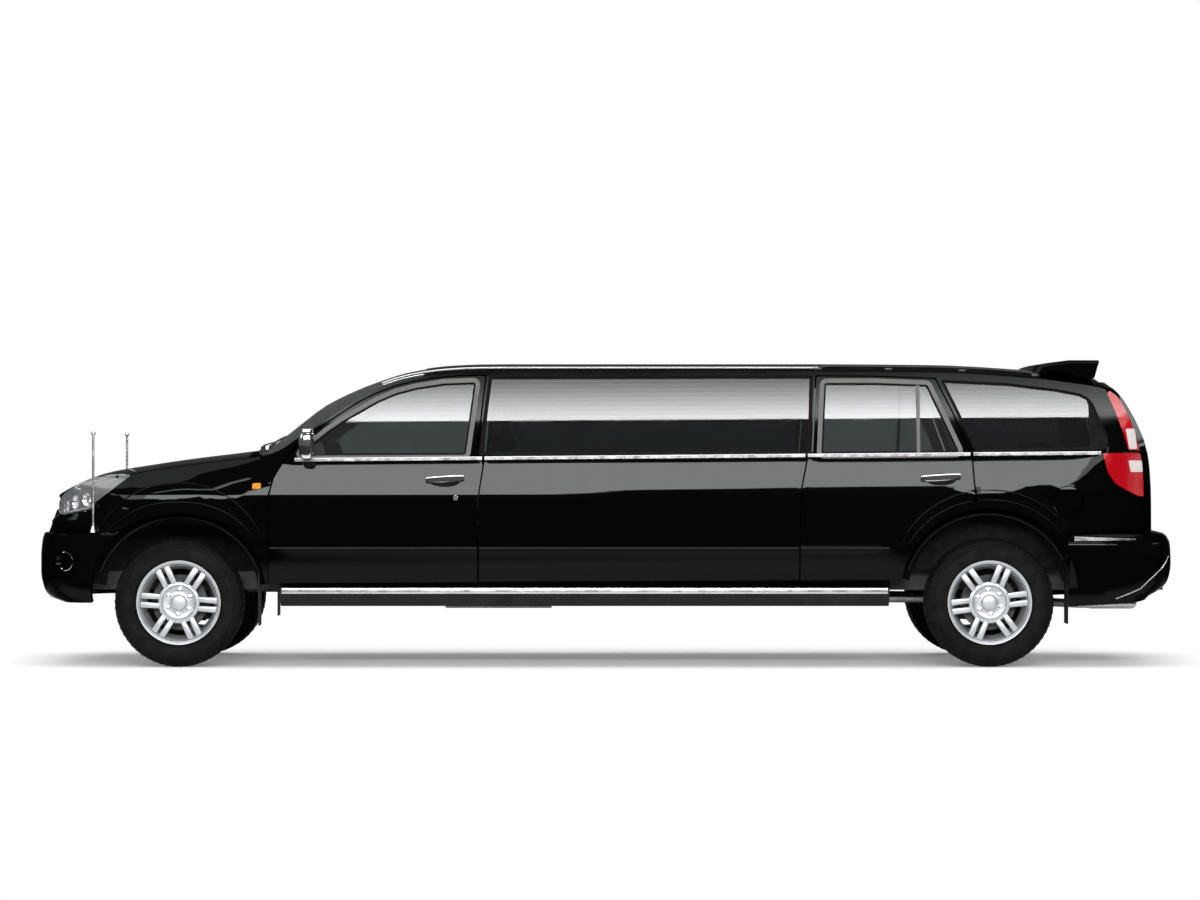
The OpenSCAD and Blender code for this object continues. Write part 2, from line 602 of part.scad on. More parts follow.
// A bumper cover: a plan outline pushed up, trimmed by a side outline and hollow behind
front_low_plan = [[0, 0], [300, 10], [500, 34], [640, 72], [730, 118], [800, 190], [850, 290], [880, 400], [896, 480]];
front_high_plan = [[0, 62], [300, 70], [480, 90], [620, 128], [710, 176], [780, 246], [830, 334], [862, 430], [888, 590]];
rear_plan = [[0, 0], [300, 8], [500, 24], [640, 48], [730, 82], [800, 140], [850, 230], [880, 330], [898, 430]];
module bumper_plan(plan, t, back) {
    h = [for (p = plan) [p[1] + t, wide(p[0]) * (1 - t / half_w)]];
    r = concat(h, [[back, h[len(h) - 1][1] + 4]]);
    polygon(concat(r, [for (i = [len(r) - 1:-1:0]) [r[i][0], -r[i][1]]]));
}
module side_trim(pts) {
    translate([0, 1200, 0]) rotate([90, 0, 0]) linear_extrude(2400) polygon(pts);
}
module front_bumper() {
    top = bumper_split - seam;
    color(paint) difference() {
        intersection() {
            union() {
                difference() {
                    translate([nose_x, 0, 300]) linear_extrude(shelf_z - 300) bumper_plan(front_low_plan, 0, 640);
                    translate([nose_x, 0, 200]) linear_extrude(shelf_z - 200 - bumper_t) bumper_plan(front_low_plan, bumper_t, 740);
                }
                translate([nose_x, 0, shelf_z - 1]) linear_extrude(300) bumper_plan(front_high_plan, 0, 640);
            }
            side_trim([[nose_x + 120, 366], [nose_x + 60, 386], [nose_x + 20, 440], [nose_x - 1, 520], [nose_x - 1, 640],
                [nose_x + 10, 730], [nose_x + 40, 800], [nose_x + 62, 840], [nose_x + 100, roof_z - 879], [fa - 668, roof_z - 877 - seam],
                [fa - 600, roof_z - 864 - seam], [fa - 530, roof_z - 852 - seam], [fa - 500, top], [fa - 275 - seam, top],
                [fa - 275 - seam, 700], [fa - 400, 560], [fa - 445, 440], [fa - 470, 366]]);
        }
        translate([nose_x, 0, 0]) linear_extrude(2000) bumper_plan(front_high_plan, bumper_t, 740);
        both_sides() {
            side_prism() polygon(front_arch);
            translate([nose_x + 150, half_w - 193, 603]) rotate([0, -90, -30]) cylinder(r = 50, h = 300, center = true);
        }
        translate([nose_x, 0, 0]) rotate([90, 0, 90]) linear_extrude(400) offset(delta = seam)
            polygon([[-grille_w, grille_top + 300], [grille_w, grille_top + 300], [grille_w, grille_top],
                [grille_w - 60, grille_low], [60 - grille_w, grille_low], [-grille_w, grille_top]]);
        translate([nose_x - 10, -370, 475]) cube([200, 740, 120]);
    }
}
module rear_bumper() {
    color(paint) difference() {
        intersection() {
            difference() {
                translate([tail_x, 0, 300]) mirror([1, 0, 0]) linear_extrude(shelf_z - 2 - 300) bumper_plan(rear_plan, 0, 700);
                translate([tail_x, 0, 200]) mirror([1, 0, 0]) linear_extrude(shelf_z - 202 - bumper_t) bumper_plan(rear_plan, bumper_t, 800);
                translate([tail_x - 900, -half_w + 120, shelf_z - 60]) cube([780, 2 * half_w - 240, 100]);
            }
            side_trim([[bumper_back, 346], [ra + 850, 372], [ra + 980, 410], [ra + 1050, 440], [tail_x - 14, 500], [tail_x + 1, 600],
                [tail_x - 4, 700], [tail_x - 18, 745], [tail_x - 45, 780], [bumper_back, 780]]);
        }
        both_sides() side_prism() polygon(rear_arch);
    }
}

// The tail
pane_w = tailgate_half - 105;
rear_window = [[25 - pane_w, roof_z - 530], [pane_w - 25, roof_z - 530], [pane_w, roof_z - 470], [pane_w - 35, roof_z - 230],
    [pane_w - 80, roof_z - 165], [80 - pane_w, roof_z - 165], [35 - pane_w, roof_z - 230], [-pane_w, roof_z - 470]];
gate_t = 46;
gate_hinge_x = ra + 724;
gate_hinge_z = roof_z - 106;
gate_hinge_y = tailgate_half - 390;
module gate_knuckle(k) {
    translate([gate_hinge_x, gate_hinge_y + k * (barrel_len + seam), gate_hinge_z]) rotate([-90, 0, 0])
        cylinder(r = barrel_r, h = barrel_len, $fn = 16);
}
module tailgate() {
    color(paint) {
        difference() {
            intersection() {
                wall(tailgate_x, side_x1, gate_t, gate_t + 10, 0, 0, gate_t);
                tailgate_area();
            }
            translate([ra, 0, 0]) rotate([90, 0, 90]) linear_extrude(2000) polygon(rear_window);
            both_sides() for (k = [0, 2]) translate([gate_hinge_x - 7, gate_hinge_y - 1 + k * (barrel_len + seam), gate_hinge_z - 7])
                cube([60, barrel_len + 2, 60]);
        }
        both_sides() {
            gate_knuckle(1);
            translate([gate_hinge_x - 3, gate_hinge_y + barrel_len + seam, gate_hinge_z - 14]) cube([6, barrel_len, 14]);
        }
    }
}
module gate_brackets() {
    both_sides() for (k = [0, 2]) {
        gate_knuckle(k);
        translate([tailgate_x - shut_gap - 30, gate_hinge_y + k * (barrel_len + seam), gate_hinge_z - 2]) cube([gate_hinge_x - tailgate_x + shut_gap + 30, barrel_len, 4]);
    }
}
module tailgate_glass() {
    color(dark_glass) intersection() {
        wall(tailgate_x, side_x1, glass_in + glass_t + 3, glass_in + glass_t + 3, glass_in, glass_in, glass_in + glass_t + 3, glass_in);
        translate([ra, 0, 0]) rotate([90, 0, 90]) linear_extrude(2000) offset(delta = -seam) polygon(rear_window);
    }
}
module tail_lamps() {
    color(red_lens) both_sides() difference() {
        intersection() {
            wall(ra + 600, side_x1, side_t, roof_t + 30, 2, 2, side_t, 2);
            union() {
                side_prism(300) polygon(tail_lamp_upper);
                side_prism(300) polygon(tail_lamp_lower);
            }
        }
        tailgate_area(shut_gap);
    }
}
module off_body(x0, x1) {
    difference() {
        children();
        loft(x0, x1, -seam, -seam);
    }
}
module spoiler() {
    color(paint) off_body(ra + 200, ra + 740) intersection() {
        side_trim([[ra + 255, roof_z - 120], [ra + 261, roof_z - 66], [ra + 305, roof_z - 13], [ra + 400, roof_z + 3], [ra + 489, roof_z + 15],
            [ra + 674, roof_z + 15], [ra + 660, roof_z - 20], [ra + 629, roof_z - 120]]);
        linear_extrude(2000) polygon([[ra + 250, 333 - half_w], [ra + 674, 293 - half_w], [ra + 674, half_w - 293], [ra + 250, half_w - 333]]);
    }
}
module roof_rails() {
    color(silver) both_sides() off_body(ra - 1000, ra + 330) translate([0, half_w - 253, 0]) rotate([90, 0, 0]) linear_extrude(30)
    polygon([[ra - 985, roof_z - 80], [ra - 985, roof_z - 30], [ra - 900, roof_z], [ra - 300, roof_z + 2], [ra + 200, roof_z - 12],
        [ra + 305, roof_z - 70], [ra + 305, roof_z - 110], [ra + 240, roof_z - 110], [ra + 240, roof_z - 64], [ra + 160, roof_z - 32],
        [ra - 300, roof_z - 21], [ra - 860, roof_z - 24], [ra - 920, roof_z - 42], [ra - 920, roof_z - 80]]);
}

// Trim along the sides
board_top = sill_z - 15;
module running_boards() {
    color(trim) both_sides() intersection() {
        translate([nose_x, 0, 0]) rotate([90, 0, 90]) linear_extrude(tail_x - nose_x)
        polygon([[half_w - 45, board_top], [half_w + 5, board_top], [half_w + 13, board_top - 8], [half_w + 13, board_top - 36],
            [half_w - 10, board_top - board_h], [half_w - 123, board_top - board_h], [half_w - 123, sill_z - 30 - seam],
            [half_w - 45, sill_z - 30 - seam]]);
        side_trim([[fa + 581, board_top + 1], [ra - 573, board_top + 1], [ra - 605, board_top - 60], [ra - 640, board_top - 200],
            [fa + 640, board_top - 200], [fa + 610, board_top - 60]]);
    }
}
pole_x = fa - 487;
pole_y = half_w - 31;
module flag_poles() {
    color(silver) both_sides() translate([pole_x, pole_y, 0]) {
        difference() {
            translate([0, 0, shelf_z + seam]) cylinder(r1 = 17, r2 = 8, h = 36);
            translate([nose_x - pole_x, -pole_y, 0]) linear_extrude(2000) bumper_plan(front_high_plan, -seam, 640);
        }
        translate([0, 0, shelf_z + 10]) cylinder(d = flag_pole_d, h = flag_pole_h - 24);
        translate([0, 0, shelf_z + flag_pole_h - 14]) sphere(r = flag_pole_d, $fn = 24);
    }
}
module mirror_shell(s) {
    color(silver) on_side(s) off_body(fa + 600, fa + 900) {
        translate([fa + 700, 0, 0]) hull() {
            translate([30, half_w + 117, belt_z + 110]) scale([55, 40, 85]) sphere(r = 1, $fn = 20);
            translate([38, half_w + 12, belt_z + 100]) scale([60, 40, 82]) sphere(r = 1, $fn = 20);
            translate([72, half_w + 67, belt_z + 100]) scale([30, 88, 84]) sphere(r = 1, $fn = 20);
        }
        hull() {
            translate([fa + 690, half_w - 93, belt_z + 28]) cube([90, 20, 34]);
            translate([fa + 705, half_w + 12, belt_z + 48]) cube([60, 20, 30]);
        }
    }
}
module mud_flaps() {
    color(trim) both_sides() {
        translate([fa + 450, 640, 235]) cube([6, house_out - 640, front_foot - seam - 235]);
        translate([ra + 448, 640, 245]) cube([6, house_out - 640, rear_foot - seam - 245]);
    }
}

// Frame, floor and running gear
rail_z = 430;
rail_h = 120;
floor_z = rail_z + rail_h;
rail_in = 345;
rail_out = 425;
rear_rail_in = 420;
rear_rail_out = 500;
tow_bore_r = 9;
jack_x = 200;
cross_at = [fa - 595, fa + 1010, fa + 2100, fa + 3200, ra - 440, ra + 365, ra + 885];
// A crash beam lies against the back of its bumper
module beam_plan(plan) {
    intersection() {
        difference() {
            bumper_plan(plan, bumper_t + seam, 700);
            translate([44, 0]) bumper_plan(plan, bumper_t + seam, 700);
        }
        translate([0, 303 - half_w]) square([300, 2 * half_w - 606]);
    }
}
module ladder_frame() {
    color(steel) difference() {
        union() {
            both_sides() translate([0, 0, rail_z]) linear_extrude(rail_h)
                polygon([[nose_x + 80, rail_in], [fa + 560, rail_in], [fa + 760, rear_rail_in], [tail_x - 80, rear_rail_in],
                    [tail_x - 80, rear_rail_out], [fa + 740, rear_rail_out], [fa + 540, rail_out], [nose_x + 80, rail_out]]);
            for (x = cross_at) translate([x, -rear_rail_in - 5, floor_z - 70]) cube([60, 2 * rear_rail_in + 10, 60]);
            both_sides() {
                translate([nose_x + 70, rail_in, rail_z]) cube([60, rail_out - rail_in, 250]);
                translate([tail_x - 130, rear_rail_in, rail_z]) cube([60, rear_rail_out - rear_rail_in, 220]);
                translate([fa, engine_half + seam, 480]) cube([90, rail_in - engine_half, 60]);
            }
            both_sides() translate([jack_x, (rear_rail_in + rear_rail_out) / 2, rail_z - 8]) cylinder(r = 32, h = 9);
            translate([nose_x, 0, 610]) linear_extrude(69) beam_plan(front_low_plan);
            translate([tail_x, 0, 570]) mirror([1, 0, 0]) linear_extrude(79) beam_plan(rear_plan);
        }
        both_sides() for (x = [tail_x - 140, tail_x - 260]) translate([x, (rear_rail_in + rear_rail_out) / 2, rail_z - 1])
            cylinder(r = tow_bore_r, h = rail_h + 2);
    }
}
module wheelhouse(cx, cz, r, y0, y1, foot) {
    intersection() {
        translate([cx, y1, cz]) rotate([90, 0, 0]) linear_extrude(y1 - y0) difference() {
            circle(r = r, $fn = 64);
            circle(r = r - 10, $fn = 64);
        }
        translate([cx - 600, 0, foot]) cube([1200, 1000, 700]);
    }
    intersection() {
        translate([cx, y0 + 10, cz]) rotate([90, 0, 0]) cylinder(r = r - 1, h = 10, $fn = 64);
        translate([cx - 600, 0, foot]) cube([1200, 1000, 700]);
    }
}
floor_half = half_w - 113;
house_rear_in = 600;
house_out = half_w - 87;
front_foot = floor_z - 12;
rear_foot = floor_z + 1;
upright_t = 60;
upright_z = belt_z - 90;
luggage_x = ra + 440;
module floor_pan() {
    color(steel) {
        difference() {
            translate([firewall_x, -floor_half, floor_z]) cube([tail_x - 200 - firewall_x, 2 * floor_half, 12]);
            both_sides() translate([ra - 490, house_rear_in + 1, floor_z - 10]) cube([980, 500, 30]);
        }
        translate([firewall_x, -floor_half, floor_z]) cube([10, 2 * floor_half, upright_z - floor_z]);
        translate([firewall_x, seam - wing_in_y, floor_z]) cube([10, 2 * (wing_in_y - seam), cowl_z - floor_z - 12]);
        translate([luggage_x, 40 - house_rear_in, floor_z + 11]) cube([420, 2 * house_rear_in - 80, 7]);
        both_sides() {
            translate([door_f0 + 60, half_w - 203, sill_z - 30]) cube([ra - 560 - door_f0 - 60, 62.9, floor_z - sill_z + 31]);
            translate([firewall_x, floor_half - upright_t, floor_z]) cube([90, upright_t, upright_z - floor_z]);
            wheelhouse(ra - 6, wheel_z + 20, 490, house_rear_in, house_out, rear_foot);
            wheelhouse(fa, wheel_z, 490, rail_out + seam, house_out, front_foot);
        }
    }
}
engine_half = 240;
engine_x0 = fa - 230;
engine_x1 = fa + 330;
module engine_block() {
    color(steel) translate([engine_x0, -engine_half, 470]) cube([engine_x1 - engine_x0, 2 * engine_half, 500]);
}
module radiator() {
    color(steel) translate([cross_at[0] + 5, -rail_in + 10, floor_z - 10]) cube([50, 2 * rail_in - 20, 340]);
}
kingpin_y = track / 2 - kingpin_in;
arm_z = 130;
stub_r = 24;
module front_suspension() {
    color(steel) {
        translate([fa - 50, -rail_out, 300]) cube([100, 2 * rail_out, 70]);
        both_sides() {
            translate([fa - 40, rail_in, 369]) cube([80, rail_out - rail_in, rail_z - 369]);
            translate([fa, kingpin_y, wheel_z - arm_z - 20 - seam]) {
                cylinder(r = 20, h = 20);
                rotate([90, 0, 0]) translate([0, 10, 0]) cylinder(r = 8, h = kingpin_y - rail_out + 40);
            }
            translate([fa - 40, rail_out - 60, wheel_z - arm_z - 21]) cube([80, 60, 95]);
            translate([fa, kingpin_y, wheel_z + arm_z + seam]) {
                cylinder(r = 20, h = 20);
                rotate([90, 0, 0]) translate([0, 10, 0]) cylinder(r = 8, h = kingpin_y - rail_out - seam);
            }
        }
    }
}
module knuckle(s) {
    color(steel) on_side(s) {
        translate([fa, kingpin_y, wheel_z - arm_z]) cylinder(r = 15, h = 2 * arm_z);
        translate([fa, kingpin_y, wheel_z]) rotate([-90, 0, 0]) cylinder(r = stub_r, h = kingpin_in + 28);
        translate([fa, kingpin_y, wheel_z]) rotate([-90, 0, 0]) cylinder(r = 36, h = 20);
        translate([fa, kingpin_y - 10, wheel_z - 70]) cube([130, 20, 24]);
    }
}
module rear_axle() {
    color(steel) {
        both_sides() {
            translate([ra, 0, wheel_z]) rotate([-90, 0, 0]) cylinder(r = 42, h = track / 2 - 55);
            translate([ra, 0, wheel_z]) rotate([-90, 0, 0]) cylinder(r = stub_r, h = track / 2 + 28);
            translate([ra - 45, rear_rail_in + 5, wheel_z + 20]) cube([90, 70, rail_z - wheel_z - 20]);
        }
        translate([ra, -110, wheel_z]) rotate([-90, 0, 0]) cylinder(r = 105, h = 220);
        translate([ra - 150, 0, wheel_z]) rotate([0, 90, 0]) cylinder(r = 55, h = 130);
    }
}
gearbox_x1 = fa + 900;
module propshaft() {
    color(steel) {
        translate([engine_x1 + seam, -120, 405]) cube([gearbox_x1 - engine_x1, 240, 135]);
        translate([gearbox_x1 - 1, 0, wheel_z + 50]) rotate([0, 90, 0]) cylinder(r = 48, h = 90);
        hull() {
            translate([gearbox_x1 + 60, 0, wheel_z + 50]) rotate([0, 90, 0]) cylinder(r = 34, h = 20, $fn = 24);
            translate([ra - 152 - 20, 0, wheel_z]) rotate([0, 90, 0]) cylinder(r = 34, h = 20 + 2 - seam, $fn = 24);
        }
    }
}
pipe_r = 25;
pipe_path = [[fa + 700, -180, 375], [fa + 3000, -180, 375], [ra - 260, -180, 375], [ra - 120, -180, 445], [ra + 120, -180, 445],
    [ra + 330, -250, 354], [ra + 540, -600, 354], [ra + 846, -600, 354]];
silencer_x = fa + 1500;
module exhaust() {
    color(silver) {
        for (i = [0:len(pipe_path) - 2]) hull() for (p = [pipe_path[i], pipe_path[i + 1]]) translate(p) sphere(r = pipe_r, $fn = 24);
        hull() for (x = [silencer_x, silencer_x + 620]) translate([x, -180, 375]) rotate([0, 90, 0]) cylinder(r = 62, h = 1, $fn = 32);
        translate([ra + 600, -600, 354]) rotate([0, 90, 0]) cylinder(r = 29, h = 246, $fn = 32);
        translate([cross_at[2] + 15, -190, 390]) cube([30, 20, floor_z - 70 - seam - 390]);
    }
}

// Wheels are drawn lying on their backs, outer face up, then set on their axles
module on_axle(x, s) {
    translate([x, s * track / 2, wheel_z]) rotate([s > 0 ? -90 : 90, 0, 0]) children();
}
module tyre(x, s) {
    r = tyre_d / 2;
    h = tyre_w / 2;
    ri = rim_d / 2;
    seat = ri - 27;
    color(rubber) on_axle(x, s) rotate_extrude($fn = 40)
    polygon([[seat, -h + 22], [ri + 1, -h + 20], [ri + 12, -h + 8], [(r + ri) / 2, -h], [r - 22, -h + 9], [r - 6, -h + 24], [r, 0],
        [r - 6, h - 24], [r - 22, h - 9], [(r + ri) / 2, h], [ri + 12, h - 8], [ri + 1, h - 20], [seat, h - 22]]);
}
module rim(x, s) {
    h = tyre_w / 2;
    ri = rim_d / 2;
    seat = ri - 27 - seam;
    turn = x > 0 ? 7 : -4;
    color(silver) on_axle(x, s) {
        rotate_extrude($fn = 72)
        polygon([[seat - 12, -h + 12], [ri - 6, -h + 10], [ri - 6, -h + 20.5 - seam], [seat, -h + 22 - seam], [seat, h - 22 + seam], [ri, h - 20 + seam],
            [ri, h - 12], [ri - 8, h - 9], [ri - 18, h - 12], [seat - 8, h - 26], [seat - 12, h - 46]]);
        difference() {
            union() {
                for (i = [0:spoke_pairs - 1]) rotate([0, 0, turn + i * 360 / spoke_pairs]) for (k = [-1, 1])
                    translate([80, k * spoke_gap / 2 - spoke_w / 2, h - 62]) cube([seat - 88, spoke_w, 34]);
                translate([0, 0, h - 68]) cylinder(r = 118, h = 44);
            }
            for (i = [0:nut_count - 1]) rotate([0, 0, turn + 30 + i * 360 / nut_count]) translate([nut_pcd / 2, 0, h - 40]) cylinder(r = 17, h = 40, $fn = 24);
            translate([0, 0, h - 80]) cylinder(r = stub_r + seam, h = 25);
            for (i = [0:spoke_pairs - 1]) rotate([0, 0, turn + (i + 0.5) * 360 / spoke_pairs]) translate([138, 0, h - 80]) cylinder(r = 44, h = 100);
        }
        difference() {
            translate([0, 0, -30]) cylinder(r = 68, h = h - 38);
            translate([0, 0, -31]) cylinder(r = stub_r + seam, h = 31 + 29);
        }
        difference() {
            translate([0, 0, -24]) cylinder(r = 150, h = 22);
            translate([0, 0, -31]) cylinder(r = stub_r + seam, h = 60);
        }
        translate([0, 0, h - 40]) cylinder(r = 43, h = 26);
    }
}

// Inside the cabin
driver_y = -380;
wheel_tilt = 28;
dash_x = firewall_x + 10 + seam;
dash_half = floor_half - upright_t - seam;
hub_x = fa + 900;
hub_z = belt_z - 170;
module dashboard() {
    color(leather) {
        translate([0, dash_half, 0]) rotate([90, 0, 0]) linear_extrude(2 * dash_half)
            polygon([[dash_x, belt_z - 390], [dash_x, belt_z - 60], [dash_x + 230, belt_z - 50], [dash_x + 330, belt_z - 110],
                [dash_x + 300, belt_z - 330], [dash_x + 200, belt_z - 390]]);
        translate([hub_x, driver_y, hub_z]) rotate([0, -90 - wheel_tilt, 0]) translate([0, 0, 24 + seam]) cylinder(r = 26, h = 250, $fn = 24);
    }
}
module steering_wheel() {
    color(trim) translate([hub_x, driver_y, hub_z]) rotate([0, 90 - wheel_tilt, 0]) {
        rotate_extrude($fn = 40) translate([180, 0]) circle(r = 14, $fn = 12);
        translate([0, 0, -24]) cylinder(r = 50, h = 34);
        for (a = [0, 120, 240]) rotate([0, 0, a]) translate([30, -16, -8]) cube([150, 32, 12]);
    }
}
module soft_block(p, size, r = 40) {
    translate(p + [r, r, r]) minkowski() {
        cube([size[0] - 2 * r, size[1] - 2 * r, size[2] - 2 * r]);
        sphere(r = r, $fn = 12);
    }
}
floor_top = floor_z + 12;
module front_seats() {
    color(leather) for (y = [-380, 380]) translate([fa + 1180, y, 0]) {
        translate([60, -200, floor_top]) cube([420, 400, 120]);
        translate([0, -260, floor_top + 120]) cube([540, 520, 150]);
        translate([470, -250, floor_top + 269]) rotate([0, 14, 0]) cube([130, 500, 560]);
        translate([640, -130, floor_top + 850]) rotate([0, 10, 0]) cube([80, 260, 170]);
        translate([640, -60, floor_top + 790]) rotate([0, 10, 0]) cube([20, 14, 80]);
        translate([640, 46, floor_top + 790]) rotate([0, 10, 0]) cube([20, 14, 80]);
    }
}
module rear_seats() {
    color(leather) {
        translate([ra - 330, -580, floor_top]) cube([560, 1160, 130]);
        translate([ra - 360, -590, floor_top + 130]) cube([560, 1180, 150]);
        translate([ra + 185, -580, floor_top + 125]) rotate([0, 10, 0]) cube([130, 1160, 645]);
        translate([fa + 2100, 320, floor_top]) cube([1500, 400, 130]);
        translate([fa + 2080, 300, floor_top + 130]) cube([1540, 400, 150]);
        translate([fa + 2080, 640, floor_top + 279]) cube([1540, 100, 380]);
    }
}

ladder_frame();
floor_pan();
union() {
    roof();
    color(paint) gate_brackets();
}
body_side(-1);  // body_side_left
body_side(1);  // body_side_right
front_wing(-1);  // front_wing_left
front_wing(1);  // front_wing_right
front_bumper();
grille();
rear_bumper();
headlamps();
tail_lamps();
windscreen();
side_glass(-1);  // side_glass_left
side_glass(1);  // side_glass_right
running_boards();
flag_poles();
roof_rails();
spoiler();
cowl();
radiator();
engine_block();
front_suspension();
rear_axle();
propshaft();
exhaust();
dashboard();
front_seats();
rear_seats();
mud_flaps();
bonnet();
tailgate();
tailgate_glass();
fuel_flap();
door_front(-1);  // door_front_left
door_front(1);  // door_front_right
door_rear(-1);  // door_rear_left
door_rear(1);  // door_rear_right
door_glass_front(-1);  // door_glass_front_left
door_glass_front(1);  // door_glass_front_right
door_glass_rear(-1);  // door_glass_rear_left
door_glass_rear(1);  // door_glass_rear_right
mirror_shell(-1);  // mirror_left
mirror_shell(1);  // mirror_right
knuckle(-1);  // knuckle_left
knuckle(1);  // knuckle_right
tyre(fa, -1);  // tyre_front_left
tyre(fa, 1);  // tyre_front_right
tyre(ra, -1);  // tyre_rear_left
tyre(ra, 1);  // tyre_rear_right
rim(fa, -1);  // rim_front_left
rim(fa, 1);  // rim_front_right
rim(ra, -1);  // rim_rear_left
rim(ra, 1);  // rim_rear_right
steering_wheel();
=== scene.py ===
import math
import bpy
import bmesh
import numpy as np
from mathutils import Matrix, Vector


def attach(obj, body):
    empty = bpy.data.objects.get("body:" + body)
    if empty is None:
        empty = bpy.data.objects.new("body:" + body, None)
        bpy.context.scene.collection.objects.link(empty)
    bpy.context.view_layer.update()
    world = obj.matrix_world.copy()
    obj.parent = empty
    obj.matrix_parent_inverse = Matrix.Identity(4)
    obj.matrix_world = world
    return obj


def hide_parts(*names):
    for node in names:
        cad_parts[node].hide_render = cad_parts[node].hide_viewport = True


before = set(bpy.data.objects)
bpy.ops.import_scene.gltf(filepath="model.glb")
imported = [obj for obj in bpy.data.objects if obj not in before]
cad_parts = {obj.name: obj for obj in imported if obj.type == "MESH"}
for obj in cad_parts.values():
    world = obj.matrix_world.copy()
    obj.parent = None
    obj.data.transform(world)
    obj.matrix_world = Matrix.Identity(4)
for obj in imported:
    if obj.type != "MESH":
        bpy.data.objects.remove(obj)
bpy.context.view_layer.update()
print("frame loaded")

# Camera, level with the middle of the picture, far off as with a long lens
cameraPlace = {"distance": 25.0, "height": 1.24, "across": -0.0296, "width": 6.84}
camData = bpy.data.cameras.new("photoCamera")
cam = bpy.data.objects.new("photoCamera", camData)
bpy.context.scene.collection.objects.link(cam)
cam.location = (cameraPlace["across"], -cameraPlace["distance"], cameraPlace["height"])
cam.rotation_euler = (math.radians(90), 0, 0)
camData.sensor_width = 36
camData.lens = 36 * (cameraPlace["distance"] - 0.893) / cameraPlace["width"]
camData.clip_end = 300
bpy.context.scene.camera = cam
bpy.context.scene.view_settings.view_transform = "Standard"

# The body's sizes and outlines in millimetres, as the drawn part has them
body = {
    "wheelbase": 4630, "frontOverhang": 865, "rearOverhang": 1105, "halfWidth": 893, "roofHeight": 1746,
    "sillHeight": 470, "creaseHeight": 985, "beltHeight": 1190, "skin": 25, "sideThick": 70, "shutGap": 9,
    "flareOut": 14, "tyreDiameter": 737, "tyreWidth": 235, "rimDiameter": 490, "track": 1524,
}
noseX = -(body["frontOverhang"] + body["wheelbase"] + body["rearOverhang"]) / 2
fa = noseX + body["frontOverhang"]
ra = fa + body["wheelbase"]
tailX = ra + body["rearOverhang"]
wheelZ = body["tyreDiameter"] / 2
roofZ = body["roofHeight"]
halfW = body["halfWidth"]
gap = body["shutGap"] / 2

topLine = [(fa + a, roofZ + b) for a, b in (
    (-765, -816), (-730, -756), (-665, -711), (-576, -669), (-468, -633), (-239, -594), (17, -556), (271, -525),
    (395, -510), (445, -506), (513, -460), (655, -346), (796, -239), (935, -168), (1079, -109), (1305, -40),
    (1530, -9), (1735, -1), (1900, 0))] + [(ra + a, roofZ + b) for a, b in (
    (-995, 0), (-287, -5), (261, -34), (505, -56), (629, -74), (718, -101), (765, -136), (830, -242), (895, -395),
    (938, -535), (965, -712), (985, -990))]
edgeLine = [(fa + a, roofZ + b) for a, b in (
    (-765, -846), (-730, -796), (-665, -756), (-576, -724), (-468, -691), (-270, -641), (-65, -606), (335, -556),
    (445, -542), (535, -524), (585, -501), (690, -428), (815, -348), (1017, -214), (1236, -116), (1454, -72),
    (1672, -56), (1900, -54))] + [(ra + a, roofZ + b) for a, b in (
    (-995, -54), (-287, -60), (261, -94), (505, -124), (629, -144), (718, -171), (765, -206), (830, -306),
    (895, -446), (938, -576), (965, -746), (985, -1010))]
nosePlan = [(0, 108), (300, 116), (480, 135), (620, 172), (710, 216), (780, 285), (830, 370), (868, 470), (893, 620), (940, 1100)]
tailPlan = [(0, 112), (300, 120), (500, 136), (620, 160), (700, 200), (765, 262), (820, 345), (862, 455), (893, 600), (940, 1100)]


def curveThrough(table, x):
    # smooth curve through the table, never past its points
    t = np.array(table, float)
    xs, ys = t[:, 0], t[:, 1]
    x = np.asarray(x, float)
    rise = np.diff(ys) / np.diff(xs)
    slope = np.concatenate([[rise[0]], np.zeros(len(xs) - 2), [rise[-1]]])
    for i in range(1, len(xs) - 1):
        a, b = rise[i - 1], rise[i]
        slope[i] = 2 * a * b / (a + b) if a * b > 0 else 0
    i = np.clip(np.searchsorted(xs, x, side="right") - 1, 0, len(xs) - 2)
    h = xs[i + 1] - xs[i]
    s = np.clip((x - xs[i]) / h, 0, 1)
    a, b = slope[i] * h, slope[i + 1] * h
    return (ys[i] * (1 + 2 * s) * (1 - s) ** 2 + a * s * (1 - s) ** 2
            + ys[i + 1] * s * s * (3 - 2 * s) - b * s * s * (1 - s))


def easeIn(x, a, b):
    s = np.clip((np.asarray(x, float) - a) / (b - a), 0, 1)
    return s * s * (3 - 2 * s)


def edgeZ(x):
    return curveThrough(edgeLine, x)


def topZ(x):
    return curveThrough(topLine, x)


def creaseZ(x):
    return np.minimum(body["creaseHeight"] + 0.012 * np.asarray(x, float), edgeZ(x) - 110)


def beltZ(x):
    return np.minimum(body["beltHeight"] + 0.0085 * np.asarray(x, float), edgeZ(x) - 40)


def plainSideY(x, z):
    # half the body's width at a place and height
    x, z = np.asarray(x, float), np.asarray(z, float)
    c, b, e = creaseZ(x), beltZ(x), edgeZ(x)
    s = (c - z) / (body["creaseHeight"] - body["sillHeight"])
    low = halfW - 18 * s - 4 * s * s - 28 * np.maximum(s, 0) ** 6
    up = np.maximum((z - c) / (b - c), 0)
    g = z - b
    cabin = np.where(z <= b, halfW - 33 * up ** 1.15, halfW - 33 - 0.355 * g - 0.00004 * g * g)
    w = np.maximum((z - c) / (e - c), 0)
    wing = halfW - (halfW - 795) * w ** 1.7
    k = easeIn(x, fa + 380, fa + 600)
    return np.where(z <= c, low, k * cabin + (1 - k) * wing)


